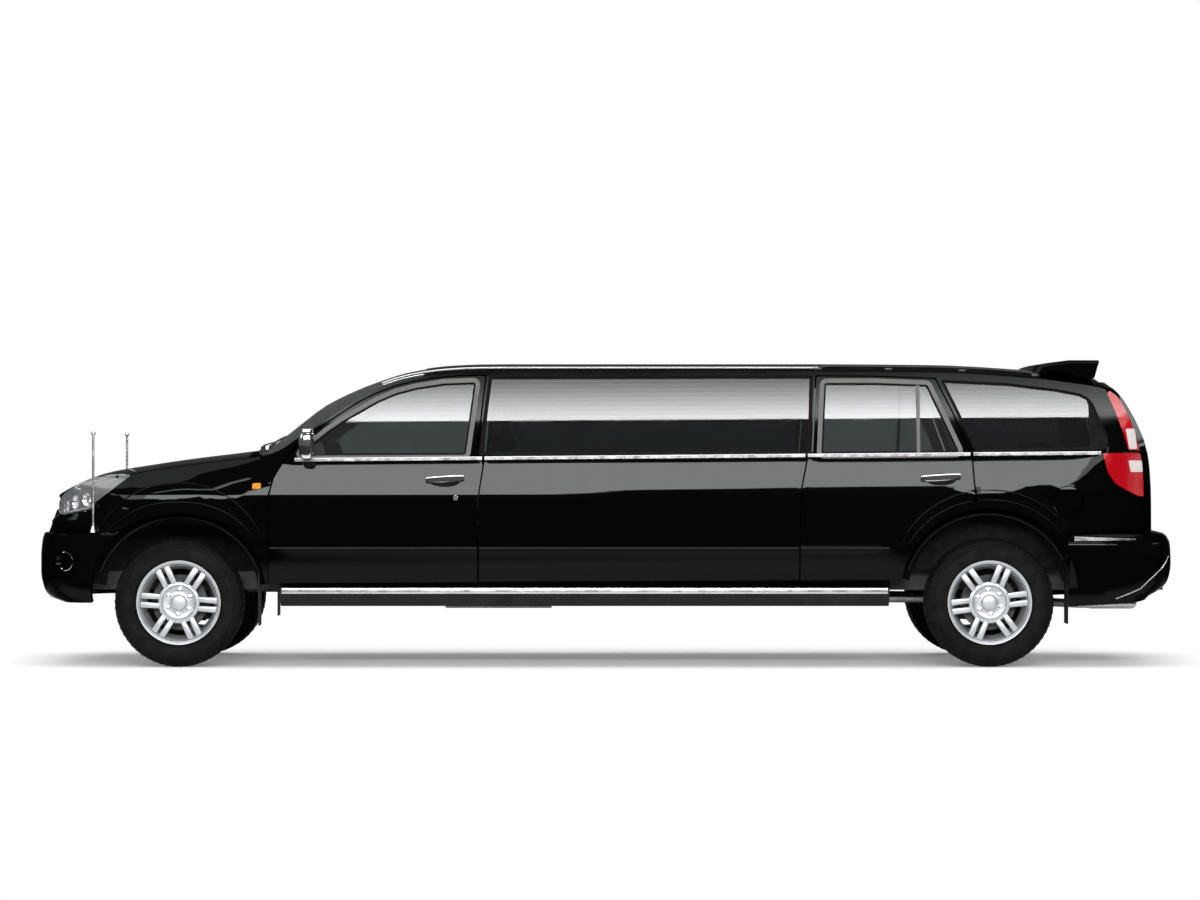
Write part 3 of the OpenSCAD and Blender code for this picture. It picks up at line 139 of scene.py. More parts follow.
def planY(x):
    # half the body's width in plan, near the nose and the tail
    front = np.interp(np.asarray(x, float) - noseX, *np.array([(b, a) for a, b in finePlan(nosePlan)]).T)
    rear = np.interp(tailX - np.asarray(x, float), *np.array([(b, a) for a, b in finePlan(tailPlan)]).T)
    return np.minimum(front, rear)


def finePlan(plan):
    ys = np.concatenate([np.arange(0, 893, 6), [893, 915, 940]])
    return list(zip(ys, curveThrough(plan, ys)))


def softMin(a, b, r):
    # the lower of two surfaces, rounded where they meet
    h = np.clip(0.5 + 0.5 * (b - a) / r, 0, 1)
    return b * (1 - h) + a * h - r * h * (1 - h)


def archRatio(x, z, cx, cz, a, b, n):
    return ((np.abs(x - cx) / a) ** n + (np.maximum(z - cz, 0) / b) ** n) ** (1 / n)


def flareHeight(x, z):
    # the two steps of the wheel arch flares
    out = np.zeros_like(np.asarray(x, float))
    for cx, cz, outer, ridge in ((fa, wheelZ, (560, 690, 2.15), (535, 580, 2.25)),
                                 (ra - 6, wheelZ + 20, (580, 628, 2.1), (545, 572, 2.1))):
        p = archRatio(x, z, cx, cz, *outer)
        q = archRatio(x, z, cx, cz, *ridge)
        first = 1 - easeIn(p, 0.985, 1.0)
        second = 1 - easeIn(q, 0.965, 1.0)
        slopeOut = 1 - 0.5 * easeIn(q, 0.86, 1.02)
        out = np.maximum(out, body["flareOut"] * (0.55 * first + 0.45 * second * slopeOut))
    return out


def sideY(x, z):
    y = softMin(plainSideY(x, z), planY(x), 18)
    moulding = 4 * easeIn(z, 672, 680) - 4 * easeIn(z, 684, 760)
    inside = easeIn(x, fa + 560, fa + 590) - easeIn(x, ra - 640, ra - 600)
    return y + flareHeight(x, z) + np.where(inside > 0, moulding * inside * 0.8, 0)


def crownZ(x, y):
    # height of the roof and bonnet over the plan
    x, y = np.asarray(x, float), np.asarray(y, float)
    e, t = edgeZ(x), topZ(x)
    ye = plainSideY(x, e)
    return e + (t - e) * (1 - np.minimum(np.abs(y) / ye, 1.2) ** 2.2)


def tailAt(y, z):
    # how far back the tail reaches at a place across the car and a height
    y, z = np.asarray(y, float), np.asarray(z, float)
    lo, hi = np.full(np.shape(z), ra + 100.0), np.full(np.shape(z), ra + 985.0)
    for _ in range(40):
        mid = (lo + hi) / 2
        inside = crownZ(mid, y) >= z
        lo, hi = np.where(inside, mid, lo), np.where(inside, hi, mid)
    return softMin(lo, tailX - curveThrough(tailPlan, np.abs(y)), 14)


# Drawing and lofting helpers
def roundedLoop(points, radius, steps=5):
    # a closed outline with its corners rounded off
    pts = [Vector(p).to_2d() if len(p) > 2 else Vector(p) for p in points]
    out = []
    for i, p in enumerate(pts):
        a, b = pts[i - 1] - p, pts[(i + 1) % len(pts)] - p
        turn = math.pi - a.angle(b)
        r = radius[i] if isinstance(radius, (list, tuple)) else radius
        cut = min(r * math.tan(turn / 2), a.length * 0.45, b.length * 0.45)
        if turn < 0.05 or cut < 0.5:
            out.append((p.x, p.y))
            continue
        start, end = p + a.normalized() * cut, p + b.normalized() * cut
        for k in range(steps + 1):
            t = k / steps
            q = start * (1 - t) ** 2 + p * 2 * t * (1 - t) + end * t * t
            out.append((q.x, q.y))
    return out


def sides():
    return ((-1, "left"), (1, "right"))


def insetLoop(points, d):
    # moves an outline inwards by d
    pts = [Vector(p) for p in points]
    area = sum(pts[i - 1].x * pts[i].y - pts[i].x * pts[i - 1].y for i in range(len(pts)))
    sign = 1 if area > 0 else -1
    out = []
    for i, p in enumerate(pts):
        a, b = (p - pts[i - 1]), (pts[(i + 1) % len(pts)] - p)
        if a.length < 1e-6 or b.length < 1e-6:
            out.append((p.x, p.y))
            continue
        na, nb = Vector((-a.y, a.x)).normalized() * sign, Vector((-b.y, b.x)).normalized() * sign
        m = na + nb
        m = m / max(m.length_squared / 2, 0.35)
        out.append((p.x + m.x * d, p.y + m.y * d))
    return out


def withHoles(outer, holes):
    # joins each hole to the outline by its shortest bridge, so that one face holds them all
    def area(p):
        return sum(p[i - 1][0] * p[i][1] - p[i][0] * p[i - 1][1] for i in range(len(p)))
    path = list(outer)
    for hole in holes:
        h = list(hole)
        if area(h) * area(outer) > 0:
            h.reverse()
        _, i, j = min((math.dist(p, q), i, j) for i, p in enumerate(path) for j, q in enumerate(h))
        path = path[:i + 1] + h[j:] + h[:j + 1] + path[i:]
    return path


def flatSheet(outer, holes, cutsA, cutsB):
    # one flat face in the plane of the drawing, cut into a fine grid
    bm = bmesh.new()
    bm.faces.new([bm.verts.new((a, 0, b)) for a, b in withHoles(outer, holes)])
    for cuts, axis in ((cutsA, (1, 0, 0)), (cutsB, (0, 0, 1))):
        for value in cuts:
            bmesh.ops.bisect_plane(bm, geom=bm.verts[:] + bm.edges[:] + bm.faces[:], dist=1e-4,
                                   plane_co=Vector(axis) * value, plane_no=axis)
    bmesh.ops.remove_doubles(bm, verts=bm.verts, dist=0.05)
    return bm


def gridCuts(low, high, step, extra=()):
    count = max(1, int(round((high - low) / step)))
    return sorted(set([low + (high - low) * i / count for i in range(1, count)] + [e for e in extra if low < e < high]))


def faceAway(bm, direction):
    total = Vector()
    for f in bm.faces:
        f.normal_update()
        total += f.normal * f.calc_area()
    if total.dot(Vector(direction)) < 0:
        bmesh.ops.reverse_faces(bm, faces=bm.faces)


def finishPiece(name, bm, material, rides, replaced=(), thick=0, bevel=0, smooth=True, angle=40, scale=0.001, inside=None):
    # turns a drawn mesh into a finished object on its body
    mesh = bpy.data.meshes.new(name)
    if scale != 1:
        bmesh.ops.scale(bm, vec=(scale, scale, scale), verts=bm.verts)
    bm.to_mesh(mesh)
    bm.free()
    obj = bpy.data.objects.new(name, mesh)
    bpy.context.scene.collection.objects.link(obj)
    mesh.materials.append(material)
    if inside:
        mesh.materials.append(inside)
    if thick:
        mod = obj.modifiers.new("wall", "SOLIDIFY")
        mod.thickness = thick * scale
        mod.offset = -1
        if inside:
            mod.material_offset = 1
            mod.material_offset_rim = 0
    if thick and not bevel:
        made = bpy.data.meshes.new_from_object(obj.evaluated_get(bpy.context.evaluated_depsgraph_get()))
        obj.modifiers.clear()
        obj.data = made
        bpy.data.meshes.remove(mesh)
        mesh = made
        mesh.name = name
    if smooth:
        mesh.polygons.foreach_set("use_smooth", [True] * len(mesh.polygons))
        mesh.set_sharp_from_angle(angle=math.radians(angle))
    if bevel:
        mod = obj.modifiers.new("edges", "BEVEL")
        mod.width = bevel * scale
        mod.segments = 2
        mod.limit_method = "ANGLE"
        mod.angle_limit = math.radians(50)
        mod.harden_normals = True
    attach(obj, rides)
    if replaced:
        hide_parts(*replaced)
    return obj


def place(bm, move):
    # moves every point of a drawing by a function of its place
    co = np.array([v.co[:] for v in bm.verts])
    new = np.stack(move(co[:, 0], co[:, 2]), axis=1)
    for v, p in zip(bm.verts, new):
        v.co = p


def sidePanel(name, outer, holes, side, inset, thick, material, rides, replaced=(), step=(70, 34), bevel=2, inside=None, lift=None):
    xs, zs = [p[0] for p in outer], [p[1] for p in outer]
    bm = flatSheet(outer, holes, gridCuts(min(xs), max(xs), step[0]), gridCuts(min(zs), max(zs), step[1], (680, 985)))
    place(bm, lambda x, z: (x, side * ((sideY(x, z) if lift is None else lift(x, z)) - inset), z))
    faceAway(bm, (0, side, 0))
    return finishPiece(name, bm, material, rides, replaced, thick, bevel, inside=inside)


def topPanel(name, outer, holes, drop, thick, material, rides, replaced=(), step=(60, 60), bevel=2, extra=(), inside=None):
    xs, ys = [p[0] for p in outer], [p[1] for p in outer]
    bm = flatSheet(outer, holes, gridCuts(min(xs), max(xs), step[0], extra), gridCuts(min(ys), max(ys), step[1]))
    place(bm, lambda x, y: (x, y, crownZ(x, y) - drop))
    faceAway(bm, (0, 0, 1))
    return finishPiece(name, bm, material, rides, replaced, thick, bevel, inside=inside)


def rearPanel(name, outer, holes, inset, thick, material, rides, replaced=(), step=(50, 34), bevel=2, inside=None):
    ys, zs = [p[0] for p in outer], [p[1] for p in outer]
    bm = flatSheet(outer, holes, gridCuts(min(ys), max(ys), step[0]), gridCuts(min(zs), max(zs), step[1]))
    place(bm, lambda y, z: (tailAt(y, z) - inset, y, z))
    faceAway(bm, (1, 0, 0))
    return finishPiece(name, bm, material, rides, replaced, thick, bevel, inside=inside)


def planPath(plan, base, direction, straight):
    # half a plan outline, from the middle of the car round the corner and along its side
    ys = np.append(np.arange(0, plan[-1][0], 6), plan[-1][0])
    xs = base + direction * curveThrough(plan, ys)
    xs, ys = np.append(xs, base + direction * straight), np.append(ys, plan[-1][0])
    s = np.concatenate([[0], np.cumsum(np.hypot(np.diff(xs), np.diff(ys)))])
    return s, xs, ys


def pathAt(path, s):
    a = np.abs(s)
    x, y = np.interp(a, path[0], path[1]), np.interp(a, path[0], path[2])
    dx = np.interp(a + 4, path[0], path[1]) - np.interp(a - 4, path[0], path[1])
    dy = np.interp(a + 4, path[0], path[2]) - np.interp(a - 4, path[0], path[2])
    long = np.maximum(np.hypot(dx, dy), 1e-6)
    return x, y, np.abs(dy) / long, np.abs(dx) / long


def alongPath(path, x=None, y=None):
    # distance along the path at a place along or across the car
    if y is not None:
        return float(np.interp(y, path[2], path[0]))
    order = np.argsort(path[1])
    return float(np.interp(x, path[1][order], path[0][order]))


def wrapPanel(name, outer, holes, where, thick, material, rides, replaced=(), step=(40, 28), extra=(), bevel=2, inside=None, away=(1, 0, 0)):
    # a sheet drawn flat and wrapped round the car's corner
    ss, zs = [p[0] for p in outer], [p[1] for p in outer]
    bm = flatSheet(outer, holes, gridCuts(min(ss), max(ss), step[0]), gridCuts(min(zs), max(zs), step[1], extra))
    place(bm, where)
    faceAway(bm, away)
    return finishPiece(name, bm, material, rides, replaced, thick, bevel, inside=inside)


def sweep(bm, path, ring, up=(0, 0, 1), closed=False, sizes=None):
    # carries a ring of (out, up) points along a path, one extrusion for each step
    path = [Vector(p) for p in path]
    count = len(path)

    def frameAt(i):
        if closed:
            way = path[(i + 1) % count] - path[i - 1]
        else:
            way = path[min(i + 1, count - 1)] - path[max(i - 1, 0)]
        way.normalize()
        out = way.cross(Vector(up)).normalized()
        rise = out.cross(way).normalized()
        k = sizes[i % count] if sizes else 1
        m = Matrix((out * k, rise * k, way)).transposed().to_4x4()
        m.translation = path[i % count]
        return m
    frames = [frameAt(i) for i in range(count)]
    first = [bm.verts.new(frames[0] @ Vector((u, v, 0))) for u, v in ring]
    edges = [bm.edges.new((first[i - 1], first[i])) for i in range(len(first))]
    start = edges
    for i in range(1, count):
        made = bmesh.ops.extrude_edge_only(bm, edges=edges)["geom"]
        edges = [g for g in made if isinstance(g, bmesh.types.BMEdge)]
        verts = [g for g in made if isinstance(g, bmesh.types.BMVert)]
        bmesh.ops.transform(bm, matrix=frames[i] @ frames[i - 1].inverted(), verts=verts)
    if closed:
        bmesh.ops.bridge_loops(bm, edges=list(start) + edges)
    else:
        bmesh.ops.contextual_create(bm, geom=start)
        bmesh.ops.contextual_create(bm, geom=edges)
    bmesh.ops.recalc_face_normals(bm, faces=bm.faces)
    return bm


def circleRing(r, count=10, flat=1.0):
    return [(r * math.cos(2 * math.pi * i / count), r * flat * math.sin(2 * math.pi * i / count)) for i in range(count)]


def boxRing(w, h, soft=0.25):
    # a rounded rectangle as wide as w and as high as h
    r = min(w, h) * soft
    return [(w / 2 - r, -h / 2), (w / 2, -h / 2 + r), (w / 2, h / 2 - r), (w / 2 - r, h / 2),
            (r - w / 2, h / 2), (-w / 2, h / 2 - r), (-w / 2, r - h / 2), (r - w / 2, -h / 2)]


def latheShape(bm, profile, centre, axis=(0, 1, 0), steps=64, closed=True):
    # turns a profile of (radius, along) points round an axis
    axis = Vector(axis).normalized()
    out = axis.orthogonal().normalized()
    pts = [bm.verts.new(Vector(centre) + out * r + axis * a) for r, a in profile]
    edges = [bm.edges.new((pts[i], pts[i + 1])) for i in range(len(pts) - 1)]
    if closed:
        edges.append(bm.edges.new((pts[-1], pts[0])))
    bmesh.ops.spin(bm, geom=pts + edges, cent=centre, axis=axis, angle=2 * math.pi, steps=steps, use_merge=True)
    bmesh.ops.remove_doubles(bm, verts=bm.verts, dist=0.01)
    bmesh.ops.recalc_face_normals(bm, faces=bm.faces)
    return bm


def block(bm, low, high, bevel=0, segments=2, matrix=None):
    # a block with softened edges between two corners
    made = bmesh.ops.create_cube(bm, size=1)["verts"]
    size = Vector(high) - Vector(low)
    bmesh.ops.scale(bm, vec=size, verts=made)
    bmesh.ops.translate(bm, vec=(Vector(low) + Vector(high)) / 2, verts=made)
    if bevel:
        edges = list({e for v in made for e in v.link_edges})
        made = list({v for f in bmesh.ops.bevel(bm, geom=edges, offset=bevel, segments=segments, profile=0.5, affect="EDGES",
                                                material=-1)["faces"] for v in f.verts} | {v for v in made if v.is_valid})
    if matrix is not None:
        bmesh.ops.transform(bm, matrix=matrix, verts=made)
    return made


def plateFrom(bm, outline, depth, lay):
    # a flat outline given a depth; lay(a, b, c) gives the place of a point of the drawing
    face = bm.faces.new([bm.verts.new(lay(a, b, 0)) for a, b in outline])
    made = bmesh.ops.extrude_face_region(bm, geom=[face])["geom"]
    verts = [g for g in made if isinstance(g, bmesh.types.BMVert)]
    bmesh.ops.translate(bm, vec=Vector(lay(0, 0, depth)) - Vector(lay(0, 0, 0)), verts=verts)
    bmesh.ops.recalc_face_normals(bm, faces=bm.faces)
    return face


def mirrored(bm):
    # adds the other side's half
    copy = bmesh.ops.duplicate(bm, geom=bm.verts[:] + bm.edges[:] + bm.faces[:])["geom"]
    verts = [g for g in copy if isinstance(g, bmesh.types.BMVert)]
    faces = [g for g in copy if isinstance(g, bmesh.types.BMFace)]
    bmesh.ops.scale(bm, vec=(1, -1, 1), verts=verts)
    bmesh.ops.reverse_faces(bm, faces=faces)
    return bm


# Materials
def nodeMaterial(name, **sockets):
    mat = bpy.data.materials.new(name)
    mat.use_nodes = True
    shader = mat.node_tree.nodes["Principled BSDF"]
    for key, value in sockets.items():
        shader.inputs[key.replace("_", " ")].default_value = value
    return mat, mat.node_tree, shader


def grain(tree, shader, scale, strength, distance=0.001, detail=4, stretch=(1, 1, 1), seedOffset=0.0):
    # fine bumps over the surface, fixed to the object
    place = tree.nodes.new("ShaderNodeTexCoord")
    mapping = tree.nodes.new("ShaderNodeMapping")
    mapping.inputs["Scale"].default_value = stretch
    mapping.inputs["Location"].default_value = (seedOffset, seedOffset, seedOffset)
    noise = tree.nodes.new("ShaderNodeTexNoise")
    noise.inputs["Scale"].default_value = scale
    noise.inputs["Detail"].default_value = detail
    bump = tree.nodes.new("ShaderNodeBump")
    bump.inputs["Strength"].default_value = strength
    bump.inputs["Distance"].default_value = distance
    tree.links.new(place.outputs["Object"], mapping.inputs["Vector"])
    tree.links.new(mapping.outputs["Vector"], noise.inputs["Vector"])
    tree.links.new(noise.outputs["Fac"], bump.inputs["Height"])
    tree.links.new(bump.outputs["Normal"], shader.inputs["Normal"])
    return mapping, noise, bump


def vary(tree, shader, socket, mapping, scale, low, high, detail=3):
    # slow variation of a roughness or colour
    noise = tree.nodes.new("ShaderNodeTexNoise")
    noise.inputs["Scale"].default_value = scale
    noise.inputs["Detail"].default_value = detail
    tree.links.new(mapping.outputs["Vector"], noise.inputs["Vector"])
    ramp = tree.nodes.new("ShaderNodeValToRGB")
    ramp.color_ramp.elements[0].position = 0.35
    ramp.color_ramp.elements[1].position = 0.65
    four = (lambda c: (c, c, c, 1)) if not isinstance(low, tuple) else (lambda c: (*c, 1))
    ramp.color_ramp.elements[0].color = four(low)
    ramp.color_ramp.elements[1].color = four(high)
    tree.links.new(noise.outputs["Fac"], ramp.inputs["Fac"])
    tree.links.new(ramp.outputs["Color"], shader.inputs[socket])
    return ramp


finishes = {
    "paint": (0.0035, 0.0038, 0.0036), "paintRough": 0.16, "glass": (0.05, 0.055, 0.055), "alloy": (0.66, 0.68, 0.70),
    "rubber": (0.010, 0.010, 0.010), "red": (0.36, 0.001, 0.006), "leather": (0.020, 0.017, 0.016),
}


def blackPaint():
    mat, tree, shader = nodeMaterial("blackPaint", Metallic=0.92, Specular_Tint=(0.06, 0.06, 0.06, 1), Specular_IOR_Level=0.1)
    mapping, _, _ = grain(tree, shader, 46, 0.006, 0.0003, 2)
    vary(tree, shader, "Base Color", mapping, 420, (0.0088, 0.0094, 0.0090), (0.0118, 0.0124, 0.0120))
    vary(tree, shader, "Roughness", mapping, 3.0, 0.03, 0.055)
    return mat


def tintedGlass(name="tintedGlass", tint=(0.20, 0.22, 0.22), clear=0.97):
    mat, tree, shader = nodeMaterial(name, Base_Color=(*tint, 1), IOR=1.5, Transmission_Weight=clear)
    mapping, _, _ = grain(tree, shader, 2.2, 0.02, 0.002, 1)
    vary(tree, shader, "Roughness", mapping, 5.0, 0.004, 0.018)
    return mat


def chromeFinish(name="chromeTrim", tone=0.82, rough=(0.05, 0.10)):
    mat, tree, shader = nodeMaterial(name, Base_Color=(tone, tone, tone * 1.01, 1), Metallic=1.0)
    mapping, _, _ = grain(tree, shader, 160, 0.01, 0.0003, 2)
    vary(tree, shader, "Roughness", mapping, 9, *rough)
    return mat


def alloyFinish():
    mat, tree, shader = nodeMaterial("alloySilver", Metallic=0.6, Coat_Weight=0.25, Coat_Roughness=0.15)
    mapping, _, _ = grain(tree, shader, 900, 0.05, 0.0002, 2)
    vary(tree, shader, "Base Color", mapping, 700, (0.40, 0.42, 0.44), (0.50, 0.52, 0.54))
    vary(tree, shader, "Roughness", mapping, 12, 0.34, 0.44)
    return mat


def rubberFinish():
    mat, tree, shader = nodeMaterial("tyreRubber", Specular_IOR_Level=0.12)
    mapping, _, _ = grain(tree, shader, 340, 0.25, 0.0005, 6)
    vary(tree, shader, "Base Color", mapping, 14, (0.002, 0.002, 0.002), (0.0045, 0.0045, 0.0043))
    vary(tree, shader, "Roughness", mapping, 20, 0.62, 0.82)
    return mat


def plasticFinish(name, low, high, rough=(0.45, 0.6), scale=520, strength=0.3):
    mat, tree, shader = nodeMaterial(name, Specular_IOR_Level=0.22)
    mapping, _, _ = grain(tree, shader, scale, strength, 0.0006, 3)
    vary(tree, shader, "Base Color", mapping, 8, low, high)
    vary(tree, shader, "Roughness", mapping, 11, *rough)
    return mat


def metalFinish(name, low, high, rough=(0.35, 0.55), scale=120, metal=0.9, strength=0.2):
    mat, tree, shader = nodeMaterial(name, Metallic=metal)
    mapping, _, _ = grain(tree, shader, scale, strength, 0.0008, 5)
    vary(tree, shader, "Base Color", mapping, 6, low, high)
    vary(tree, shader, "Roughness", mapping, 15, *rough)
    return mat


def lensFinish(name, colour, clear=0.8, ribs=160, strength=0.35, rough=0.04):
    mat, tree, shader = nodeMaterial(name, Base_Color=(*colour, 1), IOR=1.36, Transmission_Weight=clear, Coat_Weight=0.3, Coat_Roughness=0.02)
    place = tree.nodes.new("ShaderNodeTexCoord")
    wave = tree.nodes.new("ShaderNodeTexWave")
    wave.bands_direction = "Z"
    wave.inputs["Scale"].default_value = ribs
    bump = tree.nodes.new("ShaderNodeBump")
    bump.inputs["Strength"].default_value = strength
    bump.inputs["Distance"].default_value = 0.0008
    tree.links.new(place.outputs["Object"], wave.inputs["Vector"])
    tree.links.new(wave.outputs["Fac"], bump.inputs["Height"])
    tree.links.new(bump.outputs["Normal"], shader.inputs["Normal"])
    vary(tree, shader, "Roughness", placeMapping(tree, place), 40, rough, rough * 2.5)
    return mat


def placeMapping(tree, coords):
    mapping = tree.nodes.new("ShaderNodeMapping")
    tree.links.new(coords.outputs["Object"], mapping.inputs["Vector"])
    return mapping


def leatherFinish(name, low, high):
    mat, tree, shader = nodeMaterial(name, Sheen_Weight=0.15, Sheen_Roughness=0.5)
    place = tree.nodes.new("ShaderNodeTexCoord")
    mapping = placeMapping(tree, place)
    cells = tree.nodes.new("ShaderNodeTexVoronoi")
    cells.feature = "DISTANCE_TO_EDGE"
    cells.inputs["Scale"].default_value = 330
    bump = tree.nodes.new("ShaderNodeBump")
    bump.inputs["Strength"].default_value = 0.35
    bump.inputs["Distance"].default_value = 0.0012
    tree.links.new(mapping.outputs["Vector"], cells.inputs["Vector"])
    tree.links.new(cells.outputs["Distance"], bump.inputs["Height"])
    tree.links.new(bump.outputs["Normal"], shader.inputs["Normal"])
    vary(tree, shader, "Base Color", mapping, 9, low, high)
    vary(tree, shader, "Roughness", mapping, 14, 0.38, 0.55)
    return mat


paint = blackPaint()
darkGlass = tintedGlass()
privacyGlass = tintedGlass("privacyGlass", (0.07, 0.08, 0.08), 0.96)
chrome = chromeFinish()
alloy = alloyFinish()
rubber = rubberFinish()
trimPlastic = plasticFinish("grainedTrim", (0.006, 0.006, 0.006), (0.012, 0.012, 0.012))
dashPlastic = plasticFinish("softDash", (0.018, 0.017, 0.017), (0.030, 0.029, 0.028), (0.55, 0.7))
chassisSteel = metalFinish("chassisBlack", (0.018, 0.018, 0.018), (0.040, 0.039, 0.037), (0.5, 0.7), 60, 0.3, 0.4)
castMetal = metalFinish("castMetal", (0.20, 0.20, 0.20), (0.32, 0.32, 0.33), (0.45, 0.6), 90, 0.8, 0.5)
pipeSteel = metalFinish("pipeSteel", (0.42, 0.40, 0.37), (0.60, 0.59, 0.57), (0.2, 0.35), 40, 1.0, 0.1)
lampGlass = lensFinish("clearLens", (0.95, 0.97, 1.0), 0.95, 90, 0.12, 0.01)
redLens = lensFinish("redLens", finishes["red"], 0.15, 150, 0.3)
amberLens = lensFinish("amberLens", (0.95, 0.36, 0.02), 0.5, 300, 0.4)
fogGlass = lensFinish("fogGlass", (0.42, 0.50, 0.72), 0.35, 120, 0.2, 0.02)
satinSilver = metalFinish("satinSilver", (0.62, 0.62, 0.63), (0.74, 0.74, 0.75), (0.22, 0.32), 200, 1.0, 0.03)
lampInner = plasticFinish("lampInner", (0.03, 0.03, 0.03), (0.05, 0.05, 0.05), (0.2, 0.3), 60, 0.1)
clearField = lensFinish("clearField", (0.72, 0.66, 0.66), 0.25, 260, 0.4, 0.05)
trimGloss = plasticFinish("trimGloss", (0.008, 0.008, 0.008), (0.014, 0.014, 0.014), (0.18, 0.28), 700, 0.05)
plateFinish = plasticFinish("plateBlank", (0.62, 0.62, 0.60), (0.70, 0.70, 0.68), (0.35, 0.45), 300, 0.05)
discSteel = metalFinish("discSteel", (0.05, 0.05, 0.05), (0.09, 0.09, 0.09), (0.25, 0.4), 30, 1.0, 0.05)
# flat grey for the door window frames and the divider: a painted reflection of studio light on their black paint
frameReflectionGrey = plasticFinish("frameReflectionGrey", (0.10, 0.10, 0.098), (0.115, 0.115, 0.112), (0.30, 0.38), 600, 0.05)
leather = leatherFinish("seatHide", (0.016, 0.014, 0.013), (0.032, 0.028, 0.026))
print("materials made")

# Seats: every pad is blown up from a smaller shape with cloth pressure, then sewn
padSet = {"voxel": 15, "pressure": 4.0, "frames": 20, "cap": 18, "shrink": 12, "seam": 7, "stitch": 9}


def padShape(name, size, soften):
    # a soft pad round the origin, as a list of points and faces in millimetres
    bm = bmesh.new()
    low = Vector([-c / 2 + padSet["shrink"] for c in size])
    block(bm, low, -low, soften, 3)
    bmesh.ops.scale(bm, vec=(0.001, 0.001, 0.001), verts=bm.verts)
    mesh = bpy.data.meshes.new(name)
    bm.to_mesh(mesh)
    bm.free()
    obj = bpy.data.objects.new(name, mesh)
    bpy.context.scene.collection.objects.link(obj)
    grid = obj.modifiers.new("grid", "REMESH")
    grid.mode = "VOXEL"
    grid.voxel_size = padSet["voxel"] / 1000
    whole = bpy.data.meshes.new_from_object(obj.evaluated_get(bpy.context.evaluated_depsgraph_get()))
    obj.modifiers.clear()
    obj.data = whole
    start = np.array([v.co[:] for v in whole.vertices])
    cloth = obj.modifiers.new("cloth", "CLOTH")
    cloth.settings.quality = 4
    cloth.settings.mass = 0.3
    cloth.settings.use_pressure = True
    cloth.settings.uniform_pressure_force = padSet["pressure"]
    cloth.settings.effector_weights.gravity = 0
    cloth.collision_settings.use_self_collision = False
    cloth.point_cache.frame_start = 1
    cloth.point_cache.frame_end = padSet["frames"]
    for f in range(1, padSet["frames"] + 1):
        bpy.context.scene.frame_set(f)
    blown = obj.evaluated_get(bpy.context.evaluated_depsgraph_get())
    now = np.array([v.co[:] for v in blown.data.vertices])
    obj.modifiers.clear()
    bpy.context.scene.frame_set(1)
    move = now - start
    far = np.linalg.norm(move, axis=1, keepdims=True)
    now = start + move * np.minimum(1, padSet["cap"] / 1000 / np.maximum(far, 1e-9))
    whole.vertices.foreach_set("co", now.ravel())
    smooth = obj.modifiers.new("smooth", "SUBSURF")
    smooth.levels = smooth.render_levels = 1
    finer = bpy.data.meshes.new_from_object(obj.evaluated_get(bpy.context.evaluated_depsgraph_get()))
    co = np.array([v.co[:] for v in finer.vertices]) * 1000
    faces = [tuple(f.vertices) for f in finer.polygons]
    bpy.data.objects.remove(obj)
    for m in (mesh, whole, finer):
        bpy.data.meshes.remove(m)
    return co, faces


def sewPad(co, axis, sign, lines, dish=0, rim=0.8):
    # pulls sewn channels into one side of a pad; lines are (axis, place, from, to) with the last two along the other way
    co = co.copy()
    half = np.abs(co).max(axis=0)
    others = [k for k in range(3) if k != axis]
    front = easeIn(sign * co[:, axis] / half[axis], 0.35, 0.8)
    inner = np.prod([1 - easeIn(np.abs(co[:, k]) / half[k], rim, 1.0) for k in others], axis=0)
    depth = dish * front * inner
    for k, place, a, b in lines:
        u = [q for q in others if q != k][0]
        reach = easeIn(co[:, u], a - 15, a + 15) * (1 - easeIn(co[:, u], b - 15, b + 15))
        depth = depth + padSet["seam"] * front * reach * np.exp(-((co[:, k] - place) / padSet["stitch"]) ** 2)
    co[:, axis] -= sign * depth
    return co


def layPad(name, made, matrix, replaced):
    # puts a sewn pad in its place on the car
    co, faces = made
    mesh = bpy.data.meshes.new(name)
    mesh.from_pydata([tuple(c) for c in co], [], faces)
    mesh.transform(Matrix.Diagonal((0.001, 0.001, 0.001, 1)) @ matrix)
    mesh.materials.append(leather)
    mesh.polygons.foreach_set("use_smooth", [True] * len(mesh.polygons))
    obj = bpy.data.objects.new(name, mesh)
    bpy.context.scene.collection.objects.link(obj)
    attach(obj, "car_body")
    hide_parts(replaced)
    return obj


def piping(name, loops, material):
    bm = bmesh.new()
    for loop in loops:
        sweep(bm, loop, circleRing(3.2, 8), up=(0.13, 0.21, 0.97), closed=True)
    return finishPiece(name, bm, material, "car_body")


floorTop = 562
padKinds = {}
for kind, size, soften, axis, sign, lines, dish in (
        ("frontCushion", (540, 520, 150), 34, 2, 1, [(1, -160, -240, 240), (1, 160, -240, 240)] + [(0, x, -160, 160) for x in (-130, -50, 30, 110)], 16),
        ("frontBack", (130, 500, 560), 30, 0, -1, [(1, -150, -240, 240), (1, 150, -240, 240)] + [(2, z, -150, 150) for z in (-150, -75, 0, 75, 150)], 14),
        ("headrest", (80, 260, 170), 26, 0, -1, [(2, -38, -95, 95)], 4),
        ("rearCushion", (560, 392, 150), 34, 2, 1, [(0, x, -150, 150) for x in (-140, -50, 40, 130)], 12),
        ("rearBack", (130, 386, 645), 30, 0, -1, [(2, z, -150, 150) for z in (-200, -110, -20, 70, 160)], 10),
        ("sideCushion", (385, 400, 150), 34, 2, 1, [(0, x, -150, 150) for x in (-90, 0, 90)], 12),
        ("sideBack", (385, 100, 380), 28, 1, -1, [(0, x, -140, 140) for x in (-90, 0, 90)], 8)):
    co, faces = padShape(kind, size, soften)
    padKinds[kind] = (sewPad(co, axis, sign, lines, dish), faces)


def tilted(corner, turn, size):
    return Matrix.Translation(corner) @ Matrix.Rotation(math.radians(turn), 4, "Y") @ Matrix.Translation([c / 2 for c in size])


